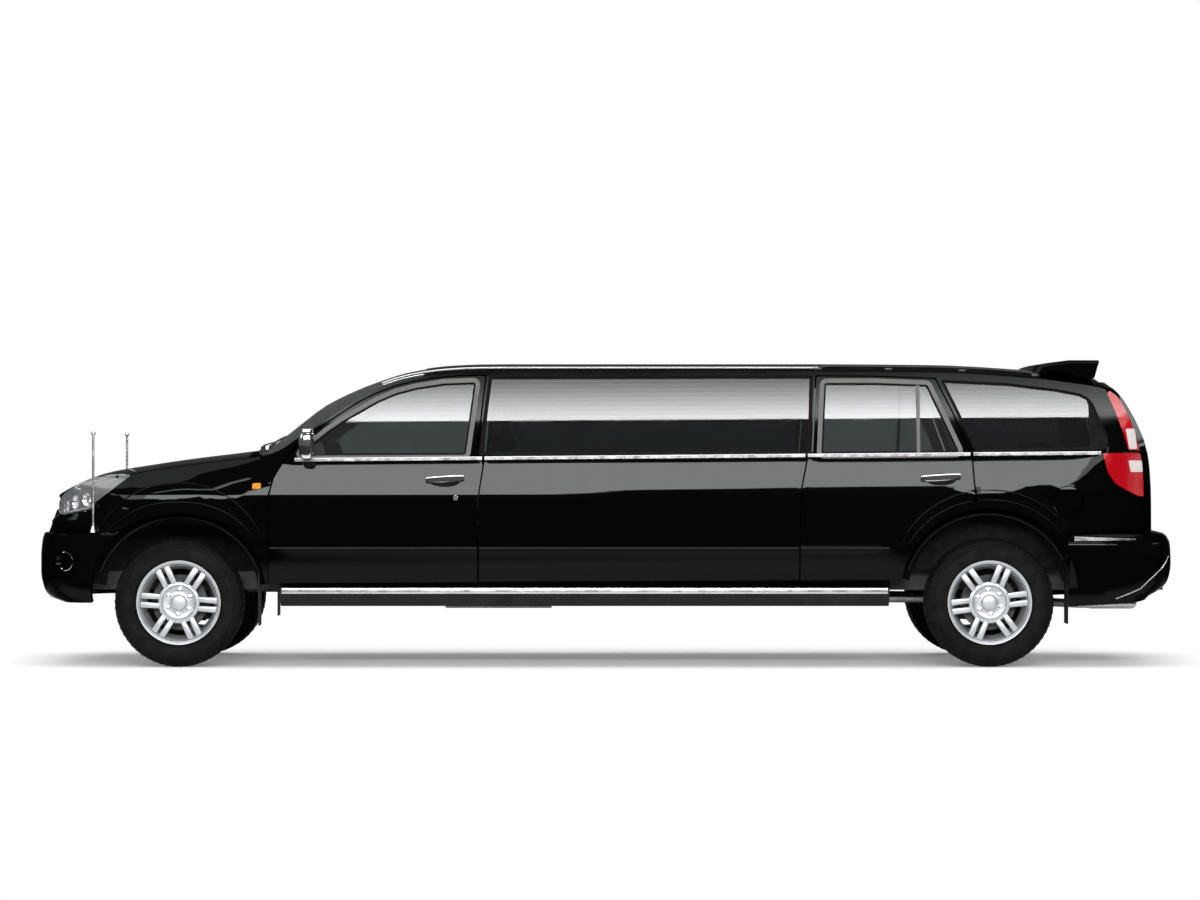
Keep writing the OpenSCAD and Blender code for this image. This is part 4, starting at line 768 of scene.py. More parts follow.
for side, tag in sides():
    x0, y0 = fa + 1180, side * 380
    layPad("frontCushion_" + tag, padKinds["frontCushion"], Matrix.Translation((x0 + 270, y0, floorTop + 195)), "front_seats")
    layPad("frontBackrest_" + tag, padKinds["frontBack"], tilted((x0 + 470, y0 - 250, floorTop + 269), 14, (130, 500, 560)), "front_seats")
    layPad("headrest_" + tag, padKinds["headrest"], tilted((x0 + 640, y0 - 130, floorTop + 850), 10, (80, 260, 170)), "front_seats")
    bm = bmesh.new()
    block(bm, (x0 + 60, y0 - 200, floorTop + 24), (x0 + 480, y0 + 200, floorTop + 128), 14, 3)
    for y in (-150, 150):
        block(bm, (x0 + 62, y0 + y - 18, floorTop), (x0 + 478, y0 + y + 18, floorTop + 26), 4, 2)
    for y in (-53, 53):
        foot = Vector((x0 + 662, y0 + y, floorTop + 792))
        latheShape(bm, [(0, -20), (6, -20), (6, 90), (0, 90)], foot, (math.sin(math.radians(10)), 0, math.cos(math.radians(10))), 16, closed=False)
        latheShape(bm, [(0, -4), (14, -4), (14, 6), (9, 10), (0, 10)], foot, (math.sin(math.radians(10)), 0, math.cos(math.radians(10))), 20, closed=False)
    finishPiece("frontSeatBase_" + tag, bm, dashPlastic, "car_body")
for k in range(3):
    y = (k - 1) * 392
    layPad("rearCushion%d" % k, padKinds["rearCushion"], Matrix.Translation((ra - 80, y, floorTop + 205)), "rear_seats")
    layPad("rearBackrest%d" % k, padKinds["rearBack"], tilted((ra + 185, (k - 1) * 386 - 193, floorTop + 125), 10, (130, 386, 645)), "rear_seats")
for k in range(4):
    x = fa + 2080 + 385 * (k + 0.5)
    layPad("sideCushion%d" % k, padKinds["sideCushion"], Matrix.Translation((x, 500, floorTop + 205)), "rear_seats")
    layPad("sideBackrest%d" % k, padKinds["sideBack"], Matrix.Translation((x, 690, floorTop + 469)), "rear_seats")
bm = bmesh.new()
block(bm, (ra - 330, -580, floorTop), (ra + 230, 580, floorTop + 134), 12, 3)
block(bm, (fa + 2100, 324, floorTop), (fa + 3600, 716, floorTop + 134), 12, 3)
finishPiece("loungePlinths", bm, dashPlastic, "car_body")
print("seats made")

finishOfNode = {
    "ladder_frame": chassisSteel, "floor_pan": rubber, "roof": paint, "body_side_left": paint, "body_side_right": paint,
    "front_wing_left": paint, "front_wing_right": paint, "front_bumper": paint, "grille": chrome, "rear_bumper": paint,
    "headlamps": lampGlass, "tail_lamps": redLens, "windscreen": darkGlass, "side_glass_left": privacyGlass,
    "side_glass_right": privacyGlass, "running_boards": trimPlastic, "flag_poles": satinSilver, "roof_rails": chrome,
    "spoiler": paint, "cowl": trimPlastic, "radiator": castMetal, "engine_block": castMetal, "front_suspension": chassisSteel,
    "rear_axle": chassisSteel, "propshaft": chassisSteel, "exhaust": pipeSteel, "dashboard": dashPlastic,
    "front_seats": leather, "rear_seats": leather, "mud_flaps": trimPlastic, "bonnet": paint, "tailgate": paint,
    "tailgate_glass": privacyGlass, "fuel_flap": paint, "door_front_left": paint, "door_front_right": paint,
    "door_rear_left": paint, "door_rear_right": paint, "door_glass_front_left": darkGlass, "door_glass_front_right": darkGlass,
    "door_glass_rear_left": darkGlass, "door_glass_rear_right": darkGlass, "mirror_left": chrome, "mirror_right": chrome,
    "knuckle_left": chassisSteel, "knuckle_right": chassisSteel, "steering_wheel": dashPlastic,
}
for nodeName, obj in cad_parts.items():
    finish = finishOfNode.get(nodeName, rubber if nodeName.startswith("tyre") else alloy)
    if not obj.data.materials:
        obj.data.materials.append(finish)
    for part in obj.material_slots:
        part.material = finish

glassFoot = roofZ - 503

# Outlines of the panels in side view
doorF0, doorF1, doorR0, doorR1 = fa + 515, fa + 1710, ra - 1085, ra - 83
sill, crease, belt = body["sillHeight"], body["creaseHeight"], body["beltHeight"]
frontDoor = [(doorF0 - 4, sill), (doorF0, crease), (doorF0 + 28, crease + 100), (doorF0 + 88, belt - 8), (fa + 632, belt + 30),
             (fa + 690, roofZ - 450), (fa + 815, roofZ - 366), (fa + 1017, roofZ - 232), (fa + 1125, roofZ - 178),
             (fa + 1236, roofZ - 136), (fa + 1345, roofZ - 109), (fa + 1454, roofZ - 92), (fa + 1590, roofZ - 80),
             (fa + 1750, roofZ - 76), (fa + 1700, belt + 10), (doorF1 + 32, belt - 20), (doorF1, crease - 20), (doorF1 - 3, sill)]
frontWindow = [(fa + 675, belt + 17), (fa + 845, roofZ - 398), (fa + 940, roofZ - 334), (fa + 1127, roofZ - 225),
               (fa + 1235, roofZ - 179), (fa + 1345, roofZ - 149), (fa + 1508, roofZ - 123), (fa + 1694, roofZ - 116),
               (fa + 1639, belt + 22)]
centreWindow = [(fa + 1768, roofZ - 80), (ra - 1000, roofZ - 76), (ra - 1019, belt + 20), (fa + 1712, belt + 20)]
rearDoor = [(doorR0, sill), (doorR0 + 5, crease + 10), (doorR0 + 44, belt), (ra - 1013, belt + 18), (ra - 984, roofZ - 80),
            (ra - 640, roofZ - 82), (ra - 298, roofZ - 94), (ra - 200, roofZ - 300), (ra - 111, belt + 32), (ra - 100, belt + 10),
            (ra - 89, crease + 60), (doorR1, crease + 20), (doorR1, sill)]
rearWindow = [(ra - 936, roofZ - 120), (ra - 640, roofZ - 120), (ra - 344, roofZ - 131), (ra - 170, belt + 34), (ra - 962, belt + 27)]
quarterWindow = [(ra - 270, roofZ - 102), (ra + 120, roofZ - 122), (ra + 400, roofZ - 156), (ra + 528, roofZ - 181),
                 (ra + 575, roofZ - 206), (ra + 603, roofZ - 242), (ra + 650, roofZ - 360), (ra + 676, roofZ - 421),
                 (ra + 681, roofZ - 458), (ra + 668, roofZ - 494), (ra + 640, belt + 52), (ra - 80, belt + 38)]
headlamp = [(noseX + 85, roofZ - 877), (fa - 668, roofZ - 877), (fa - 600, roofZ - 864), (fa - 530, roofZ - 852),
            (fa - 502, roofZ - 842), (fa - 470, roofZ - 800), (fa - 379, roofZ - 732), (fa - 300, roofZ - 668),
            (fa - 276, roofZ - 650), (fa - 320, roofZ - 642), (fa - 400, roofZ - 646), (fa - 480, roofZ - 658),
            (fa - 560, roofZ - 688), (fa - 640, roofZ - 735), (fa - 730, roofZ - 810), (noseX + 85, roofZ - 835)]
tailUpper = [(ra + 680, roofZ - 172), (ra + 698, roofZ - 162), (ra + 990, roofZ - 162), (ra + 990, roofZ - 509),
             (ra + 801, roofZ - 509), (ra + 731, roofZ - 306)]
tailLower = [(ra + 640, roofZ - 522), (ra + 990, roofZ - 522), (ra + 990, roofZ - 776), (ra + 865, roofZ - 774),
             (ra + 795, roofZ - 742), (ra + 718, roofZ - 700), (ra + 674, roofZ - 637)]


def archCurve(cx, cz, a, b, n, start=180, end=0, steps=60):
    out = []
    for i in range(steps + 1):
        q = math.radians(start + (end - start) * i / steps)
        c, s = math.cos(q), math.sin(q)
        out.append((cx + a * math.copysign(abs(c) ** (2 / n), c), cz + b * abs(s) ** (2 / n)))
    return out


rearArch = archCurve(ra - 6, wheelZ + 20, 508, 520, 2.1)
frontArch = archCurve(fa, wheelZ, 500, 508, 2.35)


def alongEdge(x0, x1, drop, step=40):
    n = max(2, int(abs(x1 - x0) / step))
    return [(x0 + (x1 - x0) * i / n, float(edgeZ(x0 + (x1 - x0) * i / n)) - drop) for i in range(n + 1)]


# Windows: a thin pane a step inside its opening
glassSet = {"inset": 10, "thick": 5, "corner": 26}
frontPane = roundedLoop(insetLoop(frontWindow, 0.3), 18)
rearPane = roundedLoop(insetLoop(rearWindow, 0.3), 18)
centrePane = roundedLoop(insetLoop(centreWindow, 0.3), 16)
quarterPane = roundedLoop(insetLoop(quarterWindow, 0.3), [12, 30, 40, 30, 40, 40, 30, 30, 40, 40, 30, 14])

for s, tag in sides():
    doorF, doorR = "door_front_" + tag, "door_rear_" + tag
    sidePanel("frontDoorGlass_" + tag, frontPane, [], s, glassSet["inset"], glassSet["thick"], darkGlass, doorF,
              ["door_glass_front_" + tag], bevel=0)
    sidePanel("rearDoorGlass_" + tag, rearPane, [], s, glassSet["inset"], glassSet["thick"], darkGlass, doorR,
              ["door_glass_rear_" + tag], bevel=0)
    centre = sidePanel("centreGlass_" + tag, centrePane, [], s, glassSet["inset"], glassSet["thick"], privacyGlass, "car_body",
                       [], bevel=0)
    quarter = sidePanel("quarterGlass_" + tag, quarterPane, [], s, glassSet["inset"], glassSet["thick"], privacyGlass, "car_body",
                        [], bevel=0)
    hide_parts("side_glass_" + tag)
    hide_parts("side_glass_" + tag)
print("windows made")

# Doors: outer skin with the window cut through, and the lining behind it
for s, tag in sides():
    outer = roundedLoop(insetLoop(frontDoor, gap), [4, 600, 120, 60, 60, 200, 600, 600, 400, 400, 400, 400, 200, 14, 60, 60, 100, 4])
    hole = roundedLoop(frontWindow, 18)
    skinF = sidePanel("frontDoorSkin_" + tag, outer, [hole], s, 0, 24, paint, "door_front_" + tag,
                      ["door_front_" + tag])
    outer = roundedLoop(insetLoop(rearDoor, gap), [4, 400, 60, 40, 14, 400, 14, 300, 40, 40, 60, 100, 4])
    arch = [p for p in rearArch if p[0] < doorR1 - gap - 1 and p[1] > sill + 2]
    outer = [p for p in outer if not (p[0] > doorR1 - 60 and p[1] < sill + 60)] + \
        [(doorR1 - gap, arch[-1][1])] + arch[::-1][1:] + [(arch[0][0] - 3, sill + 1)]
    hole = roundedLoop(rearWindow, 18)
    skinR = sidePanel("rearDoorSkin_" + tag, outer, [hole], s, 0, 24, paint, "door_rear_" + tag,
                      ["door_rear_" + tag])
    # linings, with an armrest, a pull and a speaker, seen when the doors stand open
    for name, line, rides, rest in (
            ("front", [(doorF0 + 22, sill + 26), (doorF0 + 24, crease), (doorF0 + 56, crease + 100), (doorF0 + 112, belt - 14), (doorF1 + 8, belt - 14), (doorF1 - 22, crease - 20), (doorF1 - 26, sill + 26)], "door_front_" + tag, fa + 1180),
            ("rear", [(doorR0 + 26, sill + 26), (doorR0 + 28, crease + 10), (doorR0 + 60, belt - 12), (ra - 132, belt - 12), (ra - 118, crease + 60), (doorR1 - 30, crease - 30), (ra - 330, crease - 150), (ra - 470, crease - 290), (ra - 545, sill + 26)], "door_rear_" + tag, ra - 700)):
        sidePanel(name + "DoorLining_" + tag, roundedLoop(line, 40), [], s, 26, 34, dashPlastic, rides, bevel=4)
        bm = bmesh.new()
        y = s * (float(plainSideY(rest, crease - 60)) - 74)
        block(bm, (rest - 230, y - 22, crease - 110), (rest + 230, y + 22, crease - 66), 12, 3)
        block(bm, (rest - 200, y - 12, crease - 12), (rest - 90, y + 14, crease + 14), 6, 2)
        finishPiece(name + "DoorArmrest_" + tag, bm, leather, rides)
        bm = bmesh.new()
        latheShape(bm, [(0, 2), (62, 2), (70, 6), (78, 6), (82, 0), (82, -8), (0, -8)], (rest - 260, s * (float(plainSideY(rest - 260, sill + 130)) - 58), sill + 130), (0, -s, 0), 40, closed=False)
        finishPiece(name + "DoorSpeaker_" + tag, bm, trimPlastic, rides)
print("doors made")

# Body sides, each one pressing from the windscreen pillar to the tail
pillarX = doorF0 - 70
sideEnd = ra + 985
for s, tag in sides():
    grownF, grownR = insetLoop(frontDoor, -gap), insetLoop(rearDoor, -gap)
    top = alongEdge(pillarX + 5, ra + 676, 1)
    outline = [(pillarX + 5, belt + 30)] + top + [(ra + 731, roofZ - 306), (ra + 800, roofZ - 511), (ra + 846, roofZ - 515),
               (ra + 800, roofZ - 519), (ra + 640, roofZ - 522), (ra + 674, roofZ - 637), (ra + 718, roofZ - 700),
               (ra + 795, roofZ - 742), (ra + 865, roofZ - 775), (ra + 900, roofZ - 777), (ra + 900, roofZ - 971),
               (ra + 446, roofZ - 971), (ra + 446, sill + 6)]
    arch = [p for p in rearArch if p[1] > sill + 6 and p[0] > doorR1 + gap]
    outline += arch[::-1] + [(doorR1 + gap, arch[0][1])]
    upR = [p for p in grownR if p[1] > sill + 8]
    outline += upR[::-1]
    outline += [(doorR0 - gap, sill - 20), (doorF1 + gap, sill - 20)]
    outline += [p for p in grownF if p[1] > sill + 8][::-1]
    flapHole = [(ra + 445 + 87 * math.cos(q * math.pi / 24), crease - 35 + 87 * math.sin(q * math.pi / 24)) for q in range(48)]
    holes = [roundedLoop(centreWindow, 16), roundedLoop(quarterWindow, [12, 30, 40, 30, 40, 40, 30, 30, 40, 40, 30, 14])]
    if s < 0:
        holes.append(flapHole)
    sidePanel("bodySide_" + tag, outline, holes, s, 0, 60, paint, "car_body", ["body_side_" + tag])
print("body sides made")

# Front wings
for s, tag in sides():
    lamp = insetLoop(headlamp, -0.5)
    outline = [(fa - 498, 903)] + [p for p in lamp if fa - 503 < p[0] < fa - 280 and p[1] < roofZ - 655]
    start = fa - 276
    outline += alongEdge(start, pillarX + 4, 4.5) + [(pillarX + 4, belt + 28)]
    door = [p for p in insetLoop(frontDoor, -gap) if p[0] < doorF0 + 80 and sill + 8 < p[1] < belt + 10]
    outline += door[::-1] + [(doorF0 - 4 - gap, sill + 5)]
    arch = [p for p in frontArch if p[1] > sill + 5 and p[0] > fa - 270]
    outline += arch[::-1] + [(fa - 270, arch[0][1]), (fa - 272, 903)]
    sidePanel("frontWing_" + tag, outline, [], s, 0, 30, paint, "car_body", ["front_wing_" + tag])
print("front wings made")


def roofEdge(x0, x1, y, step=40, inset=0):
    n = max(2, int(abs(x1 - x0) / step))
    out = []
    for i in range(n + 1):
        x = x0 + (x1 - x0) * i / n
        out.append((x, y * (float(plainSideY(x, edgeZ(x))) - inset)))
    return out


# Roof, bonnet and windscreen share one crowned surface
roofSet = {"header": fa + 1390, "rear": ra + 664, "thick": 38}
outline = roofEdge(roofSet["header"], roofSet["rear"], 1) + roofEdge(roofSet["rear"], roofSet["header"], -1)
topPanel("roofPanel", outline, [], 0, roofSet["thick"], paint, "car_body", ["roof"])
outline = roofEdge(fa + 452, roofSet["header"] - 2, 1, inset=4) + roofEdge(roofSet["header"] - 2, fa + 452, -1, inset=4)
topPanel("windscreenGlass", outline, [], 4, 6, darkGlass, "car_body", ["windscreen"], bevel=0)
bonnetFront = [(noseX + float(curveThrough(nosePlan, abs(y))) + 2, y) for y in np.linspace(-640, 640, 41)]
bonnetFront = [(max(x, fa - 760), y) for x, y in bonnetFront]
outline = roofEdge(fa - 560, fa + 392, 1, inset=3)[1:] + roofEdge(fa + 392, fa - 560, -1, inset=3)[:-1] + \
    [(fa - 560, -760)] + bonnetFront + [(fa - 560, 760)]
topPanel("bonnetPanel", outline, [], 0, 22, paint, "bonnet", ["bonnet"], extra=np.arange(fa - 760, fa - 500, 15))
print("roof and bonnet made")

# Tail: tailgate and its glass
gateHalf = 690
gateLine = [(-gateHalf, roofZ - 971), (gateHalf, roofZ - 971), (gateHalf, roofZ - 480), (gateHalf - 22, roofZ - 330),
            (gateHalf - 60, roofZ - 160), (gateHalf - 90, roofZ - 112), (90 - gateHalf, roofZ - 112), (60 - gateHalf, roofZ - 160),
            (22 - gateHalf, roofZ - 330), (-gateHalf, roofZ - 480)]
rearWindowLine = [(-560, roofZ - 530), (560, roofZ - 530), (585, roofZ - 470), (550, roofZ - 230), (505, roofZ - 165),
                  (-505, roofZ - 165), (-550, roofZ - 230), (-585, roofZ - 470)]
rearPanel("tailgatePanel", roundedLoop(gateLine, 25), [roundedLoop(rearWindowLine, 50)], 0, 40, paint, "tailgate",
          ["tailgate"])
rearPanel("tailgateGlass", roundedLoop(insetLoop(rearWindowLine, 0.4), 50), [], 10, 6, privacyGlass, "tailgate",
          ["tailgate_glass"], bevel=0)
print("tail made")

# Bumper covers, wrapped round the nose and the tail
frontBumper = {
    "low": [(0, 0), (300, 10), (500, 34), (640, 72), (730, 118), (800, 190), (850, 290), (880, 400), (896, 480)],
    "high": [(0, 62), (300, 70), (480, 90), (620, 128), (710, 176), (780, 246), (830, 334), (862, 430), (888, 590)],
    "shelf": 769, "thick": 22, "fogAt": (700, 603), "fogRadius": 52,
    "profile": [(366, 120), (386, 60), (408, 36), (440, 20), (480, 8), (520, 1), (640, 1), (700, 6), (735, 12), (757, 20), (769, 30), (778, 6), (840, 4), (870, 42)],
    "side": [(366, 14), (400, 5), (440, 0), (900, 0)],
}
rearBumper = {
    "plan": [(0, 0), (300, 8), (500, 24), (640, 48), (730, 82), (800, 140), (850, 230), (880, 330), (898, 430)],
    "thick": 20, "top": 767,
    "profile": [(346, 300), (372, 240), (400, 140), (420, 88), (445, 50), (475, 24), (510, 10), (560, 1), (600, 0), (680, 3), (712, 8), (745, 24), (758, 40), (767, 74)],
    "side": [(346, 18), (366, 6), (420, 0), (700, 0), (710, 3), (748, 22), (758, 30), (767, 46)],
}
frontLow = planPath(frontBumper["low"], noseX, 1, 620)
frontHigh = planPath(frontBumper["high"], noseX, 1, 620)
rearPlan = planPath(rearBumper["plan"], tailX, -1, 700)


def tuck(shape, z, facing, beside):
    return facing * np.interp(z, *zip(*shape["profile"])) + beside * np.interp(z, *zip(*shape["side"]))


def frontBumperAt(s, z, inset=0):
    x, y, facing, beside = pathAt(frontLow, s)
    hx, hy, _, _ = pathAt(frontHigh, np.abs(s) * frontHigh[0][-1] / frontLow[0][-1])
    k = easeIn(z, frontBumper["shelf"] - 9, frontBumper["shelf"] + 5)
    x, y = x * (1 - k) + hx * k, y * (1 - k) + hy * k
    d = tuck(frontBumper, z, facing ** 1.5, beside) + inset
    x, y = x + d * facing, y - d * beside
    m = easeIn(x, fa - 500, fa - 330)
    y = y * (1 - m) + (sideY(x, z) - inset) * m
    flare = flareHeight(x, z) * (1 - m)
    return x, np.where(s < 0, -1, 1) * (y + flare), z


def rearBumperAt(s, z, inset=0):
    x, y, facing, beside = pathAt(rearPlan, s)
    d = tuck(rearBumper, z, facing ** 1.5, beside) + inset
    x, y = x - d * facing, y - d * beside
    return x, np.where(s < 0, -1, 1) * y, z


def bothEnds(half):
    # a closed outline from the middle of the car out and back, repeated on the other side
    return half + [(-a, b) for a, b in half[::-1]]


sideAt = lambda x: alongPath(frontLow, x=x)
arch = [p for p in frontArch if p[0] < fa - 275 and p[1] > 372]
half = [(0, 366), (sideAt(fa - 560), 366), (sideAt(arch[0][0]), 368)] + [(sideAt(a), b) for a, b in arch] + \
    [(sideAt(fa - 275.5), arch[-1][1] + 12), (sideAt(fa - 275.5), 902), (sideAt(fa - 500), 902.4), (sideAt(fa - 530), 893.4), (sideAt(fa - 600), 881.4),
     (sideAt(fa - 668), 868.4), (alongPath(frontLow, y=470), 867), (392, 867), (333, 706), (0, 706)]
outline = [(a, b) for a, b in half if a > 0] + [(-a, b) for a, b in half[::-1] if a > 0]
fogS = alongPath(frontLow, x=noseX + 212)
fogLoop = [(frontBumper["fogRadius"] * math.cos(q * math.pi / 16), frontBumper["fogRadius"] * math.sin(q * math.pi / 16)) for q in range(32)]
fogHoles = [[(side * fogS + a, frontBumper["fogAt"][1] + b) for a, b in fogLoop] for side in (-1, 1)]
intake = roundedLoop([(-370, 475), (370, 475), (355, 595), (-355, 595)], 18)
wrapPanel("frontBumperCover", outline, [intake] + fogHoles, frontBumperAt, frontBumper["thick"], paint, "car_body",
          ["front_bumper"], step=(34, 24), extra=(757, 761, 764, 767, 770, 773, 778, 858), away=(-1, 0, 0))
sideAt = lambda x: alongPath(rearPlan, x=x)
half = [(0, 400), (alongPath(rearPlan, y=640), 400), (alongPath(rearPlan, y=800), 385), (sideAt(ra + 850), 366), (sideAt(ra + 446), 348),
        (sideAt(ra + 446), 767), (0, 767)]
outline = [(a, b) for a, b in half if a > 0] + [(-a, b) for a, b in half[::-1] if a > 0]
wrapPanel("rearBumperCover", outline, [], rearBumperAt, rearBumper["thick"], paint, "car_body",
          ["rear_bumper"], step=(34, 24), extra=(702, 710, 748, 753, 758, 762, 765), away=(1, 0, 0))
print("bumpers made")

# Bumper details: chrome edge of the rear bumper, fog lamps, intake mesh, number plates left blank
bm = bmesh.new()
for side in (-1, 1):
    track = [(alongPath(rearPlan, y=700), 628), (alongPath(rearPlan, y=780), 560), (alongPath(rearPlan, y=830), 500), (sideAt(tailX - 240), 448), (sideAt(tailX - 330), 412), (sideAt(ra + 720), 392)]
    fine = [(np.interp(t, range(len(track)), [p[0] for p in track]), np.interp(t, range(len(track)), [p[1] for p in track])) for t in np.linspace(0, len(track) - 1, 31)]
    pts = [Vector([float(c) for c in rearBumperAt(np.array(side * a), np.array(b), -2.0)]) for a, b in fine]
    sweep(bm, pts, boxRing(5, 13), up=(0.3, side, 0.1))
finishPiece("rearBumperTrim", bm, satinSilver, "car_body")
for side, tag in sides():
    x, y, _ = (float(c) for c in frontBumperAt(np.array(side * fogS), np.array(603.0), 0))
    _, _, facing, beside = pathAt(frontLow, fogS)
    out = Vector((-float(facing), side * float(beside), 0)).normalized()
    centre = Vector((x, y, 603))
    bm = bmesh.new()
    latheShape(bm, [(52, -30), (52, -2), (54, 1), (49, 2.5), (43, -4), (43, -10), (41, -30)], centre, out, 40)
    finishPiece("fogRing_" + tag, bm, chrome, "car_body")
    bm = bmesh.new()
    latheShape(bm, [(0, -44), (14, -43), (28, -36), (38, -24), (43, -12), (42, -11), (36, -22), (26, -32), (13, -38), (0, -39)], centre, out, 40, closed=False)
    finishPiece("fogBowl_" + tag, bm, chrome, "car_body")
    bm = bmesh.new()
    latheShape(bm, [(0, -3), (18, -3.6), (34, -5.6), (43, -8.5), (43, -10.5), (34, -8), (18, -6.4), (0, -6)], centre, out, 40, closed=False)
    finishPiece("fogLens_" + tag, bm, fogGlass, "car_body")
bm = bmesh.new()
for z in np.arange(486, 594, 15.5):
    pts = [Vector([float(c) for c in frontBumperAt(np.array(float(a)), np.array(float(z)), 30)]) for a in np.linspace(-362, 362, 21)]
    sweep(bm, pts, boxRing(8, 3.5), up=(0, 0, 1))
for a in np.arange(-350, 351, 25):
    pts = [Vector([float(c) for c in frontBumperAt(np.array(float(a)), np.array(float(z)), 33)]) for z in (478, 520, 560, 592)]
    sweep(bm, pts, boxRing(5, 3), up=(-1, 0, 0))
finishPiece("intakeMesh", bm, trimPlastic, "car_body")
bm = bmesh.new()
for z in np.arange(716, 886, 13):
    width = 330 + (z - 706) * 60 / 188 - 18
    lean = noseX + 62 + (z - 706) * 0.42
    sweep(bm, [(lean, -width, z), (lean - 3, 0, z), (lean, width, z)], boxRing(5, 3), up=(0, 0, 1))
for y in np.arange(-320, 321, 16):
    sweep(bm, [(noseX + 66, y, 712), (noseX + 66 + 75, y, 888)], boxRing(3, 3), up=(-1, 0, 0))
finishPiece("grilleMesh", bm, trimPlastic, "car_body")
print("bumper details made")

# Wheels: tyre with tread blocks, rim with six pairs of spokes, brake disc behind
tyreSet = {"outer": 367.0, "base": 357, "seat": 218, "halfWidth": 117, "pitches": 58, "grooveRows": (-88, -44, 0, 44, 88), "blockWidth": 35, "blockHeight": 11.3}
rimSet = {"lip": 245, "seat": 217.5, "spokePairs": 6, "spokeWidth": 30, "spokeGap": 52, "hubRadius": 118, "recess": 94, "capRadius": 43, "nutRadius": 70, "frontTurn": -4, "rearTurn": 7}
axles = {"front": fa, "rear": ra}


def tyreShape():
    # made about the origin, its outer side towards +y
    bm, h, axis = bmesh.new(), tyreSet["halfWidth"], (0, 1, 0)
    half = [(tyreSet["seat"], h - 22), (232, h - 15), (246, h - 6), (252, h - 8), (256, h - 3), (280, h - 0.5), (300, h - 0.5), (312, h - 3), (314, h - 6),
            (318, h - 6), (321, h - 3), (327, h - 4), (330, h - 7), (342, h - 12), (354, h - 20), (357, h - 32)]
    profile = half + [(357, 70), (351, 69), (351, 62), (357, 61), (357, 26), (351, 25), (351, 18), (357, 17)]
    profile += [(r, -a) for r, a in profile[::-1]]
    latheShape(bm, profile + [(tyreSet["seat"] + 6, -40), (tyreSet["seat"] + 6, 40)], (0, 0, 0), axis, 96)
    for row, a in enumerate(tyreSet["grooveRows"]):
        wide = tyreSet["blockWidth"] if abs(a) < 80 else 34
        skew = Matrix.Rotation(math.radians(18 if row % 2 else -18), 4, "Z")
        tilt = Matrix.Rotation(math.radians(-24 * (a > 80) + 24 * (a < -80)), 4, "X")
        lift = tyreSet["outer"] - tyreSet["blockHeight"] / 2 - (5.5 if abs(a) > 80 else 0)
        made = block(bm, (-15.5, -wide / 2, -6.5), (15.5, wide / 2, 5.6), 2.0, 1, skew)
        turn = Matrix.Rotation(2 * math.pi / tyreSet["pitches"] * (row % 2) / 2, 4, "Y")
        bmesh.ops.transform(bm, matrix=turn @ Matrix.Translation((0, a, lift)) @ tilt, verts=made)
        repeatRound(bm, made, tyreSet["pitches"])
    # short ribs round the shoulder, where the side meets the tread
    made = block(bm, (-3, -2.5, -16), (3, 2.5, 16), 1.0, 1)
    bmesh.ops.transform(bm, matrix=Matrix.Translation((0, h - 13, 341)) @ Matrix.Rotation(math.radians(33), 4, "X"), verts=made)
    repeatRound(bm, made, 116)
    return bm


def repeatRound(bm, verts, count):
    geom = verts + list({e for v in verts for e in v.link_edges}) + list({f for v in verts for f in v.link_faces})
    bmesh.ops.spin(bm, geom=geom, cent=(0, 0, 0), axis=(0, 1, 0), angle=2 * math.pi * (1 - 1 / count), steps=count - 1, use_duplicate=True)


def rimShape():
    bm, h, axis = bmesh.new(), tyreSet["halfWidth"], (0, 1, 0)
    latheShape(bm, [(205, -h + 12), (239, -h + 10), (239, -h + 19), (217.5, -h + 22.5), (214, -40), (196, -20), (196, 20), (214, 60), (217.5, h - 22.5), (232, h - 21), (244.6, h - 20),
                    (245, h - 14), (243, h - 10.5), (238, h - 9.2), (233, h - 10.5), (230, h - 14), (226, h - 17), (219, h - 22), (212, h - 34), (207, h - 52), (200, 10), (190, -20), (199, -h + 30)],
               (0, 0, 0), axis, 96)
    latheShape(bm, [(0, h - 66), (118, h - 66), (119.5, h - 34), (117, h - 28), (110, h - 25), (101, h - 25), (97, h - 28), (94, h - 36), (88, h - 40), (52, h - 40), (47, h - 38),
                    (44.5, h - 26), (42.5, h - 19), (38, h - 16), (24, h - 13.6), (0, h - 13)], (0, 0, 0), axis, 72, closed=False)
    w = rimSet["spokeWidth"]
    for k in (-1, 1):
        mid = k * rimSet["spokeGap"] / 2
        made = block(bm, (106, h - 54, mid - w / 2), (222, h - 22, mid + w / 2), 5.0, 3)
        for v in made:
            reach = (v.co.x - 106) / 116
            v.co.y += 6 * math.sin(reach * math.pi) - 1.5 * abs(v.co.z - mid) / w
            v.co.z += (v.co.z - mid) * 0.22 * max(reach - 0.55, 0) / 0.45
        repeatRound(bm, made, rimSet["spokePairs"])
    bmesh.ops.recalc_face_normals(bm, faces=bm.faces)
    return bm


def nutShape():
    bm, h = bmesh.new(), tyreSet["halfWidth"]
    lean = Matrix.Rotation(math.radians(-30), 3, "Y")
    latheShape(bm, [(0, -3), (15.5, -3), (15.5, 0.6), (13, 1.2), (11.2, 1.4), (10.9, 12), (9.4, 14.2), (5, 15.4), (0, 15.6)],
               lean @ Vector((rimSet["nutRadius"], 0, 0)) + Vector((0, h - 40, 0)), (0, 1, 0), 6, closed=False)
    repeatRound(bm, bm.verts[:], 6)
    latheShape(bm, [(0, -14), (3.4, -14), (3.4, 4), (4.4, 5), (4.4, 15), (3, 17), (0, 17)], lean @ Vector((206, 0, 0)) + Vector((0, h - 30, 0)), (0, 1, 0), 12, closed=False)
    return bm


def discShape():
    bm = bmesh.new()
    latheShape(bm, [(70, 20), (158, 20), (160, 18), (160, 12), (158, 10), (92, 10), (90, -6), (70, -6)], (0, 0, 0), (0, 1, 0), 64)
    return bm


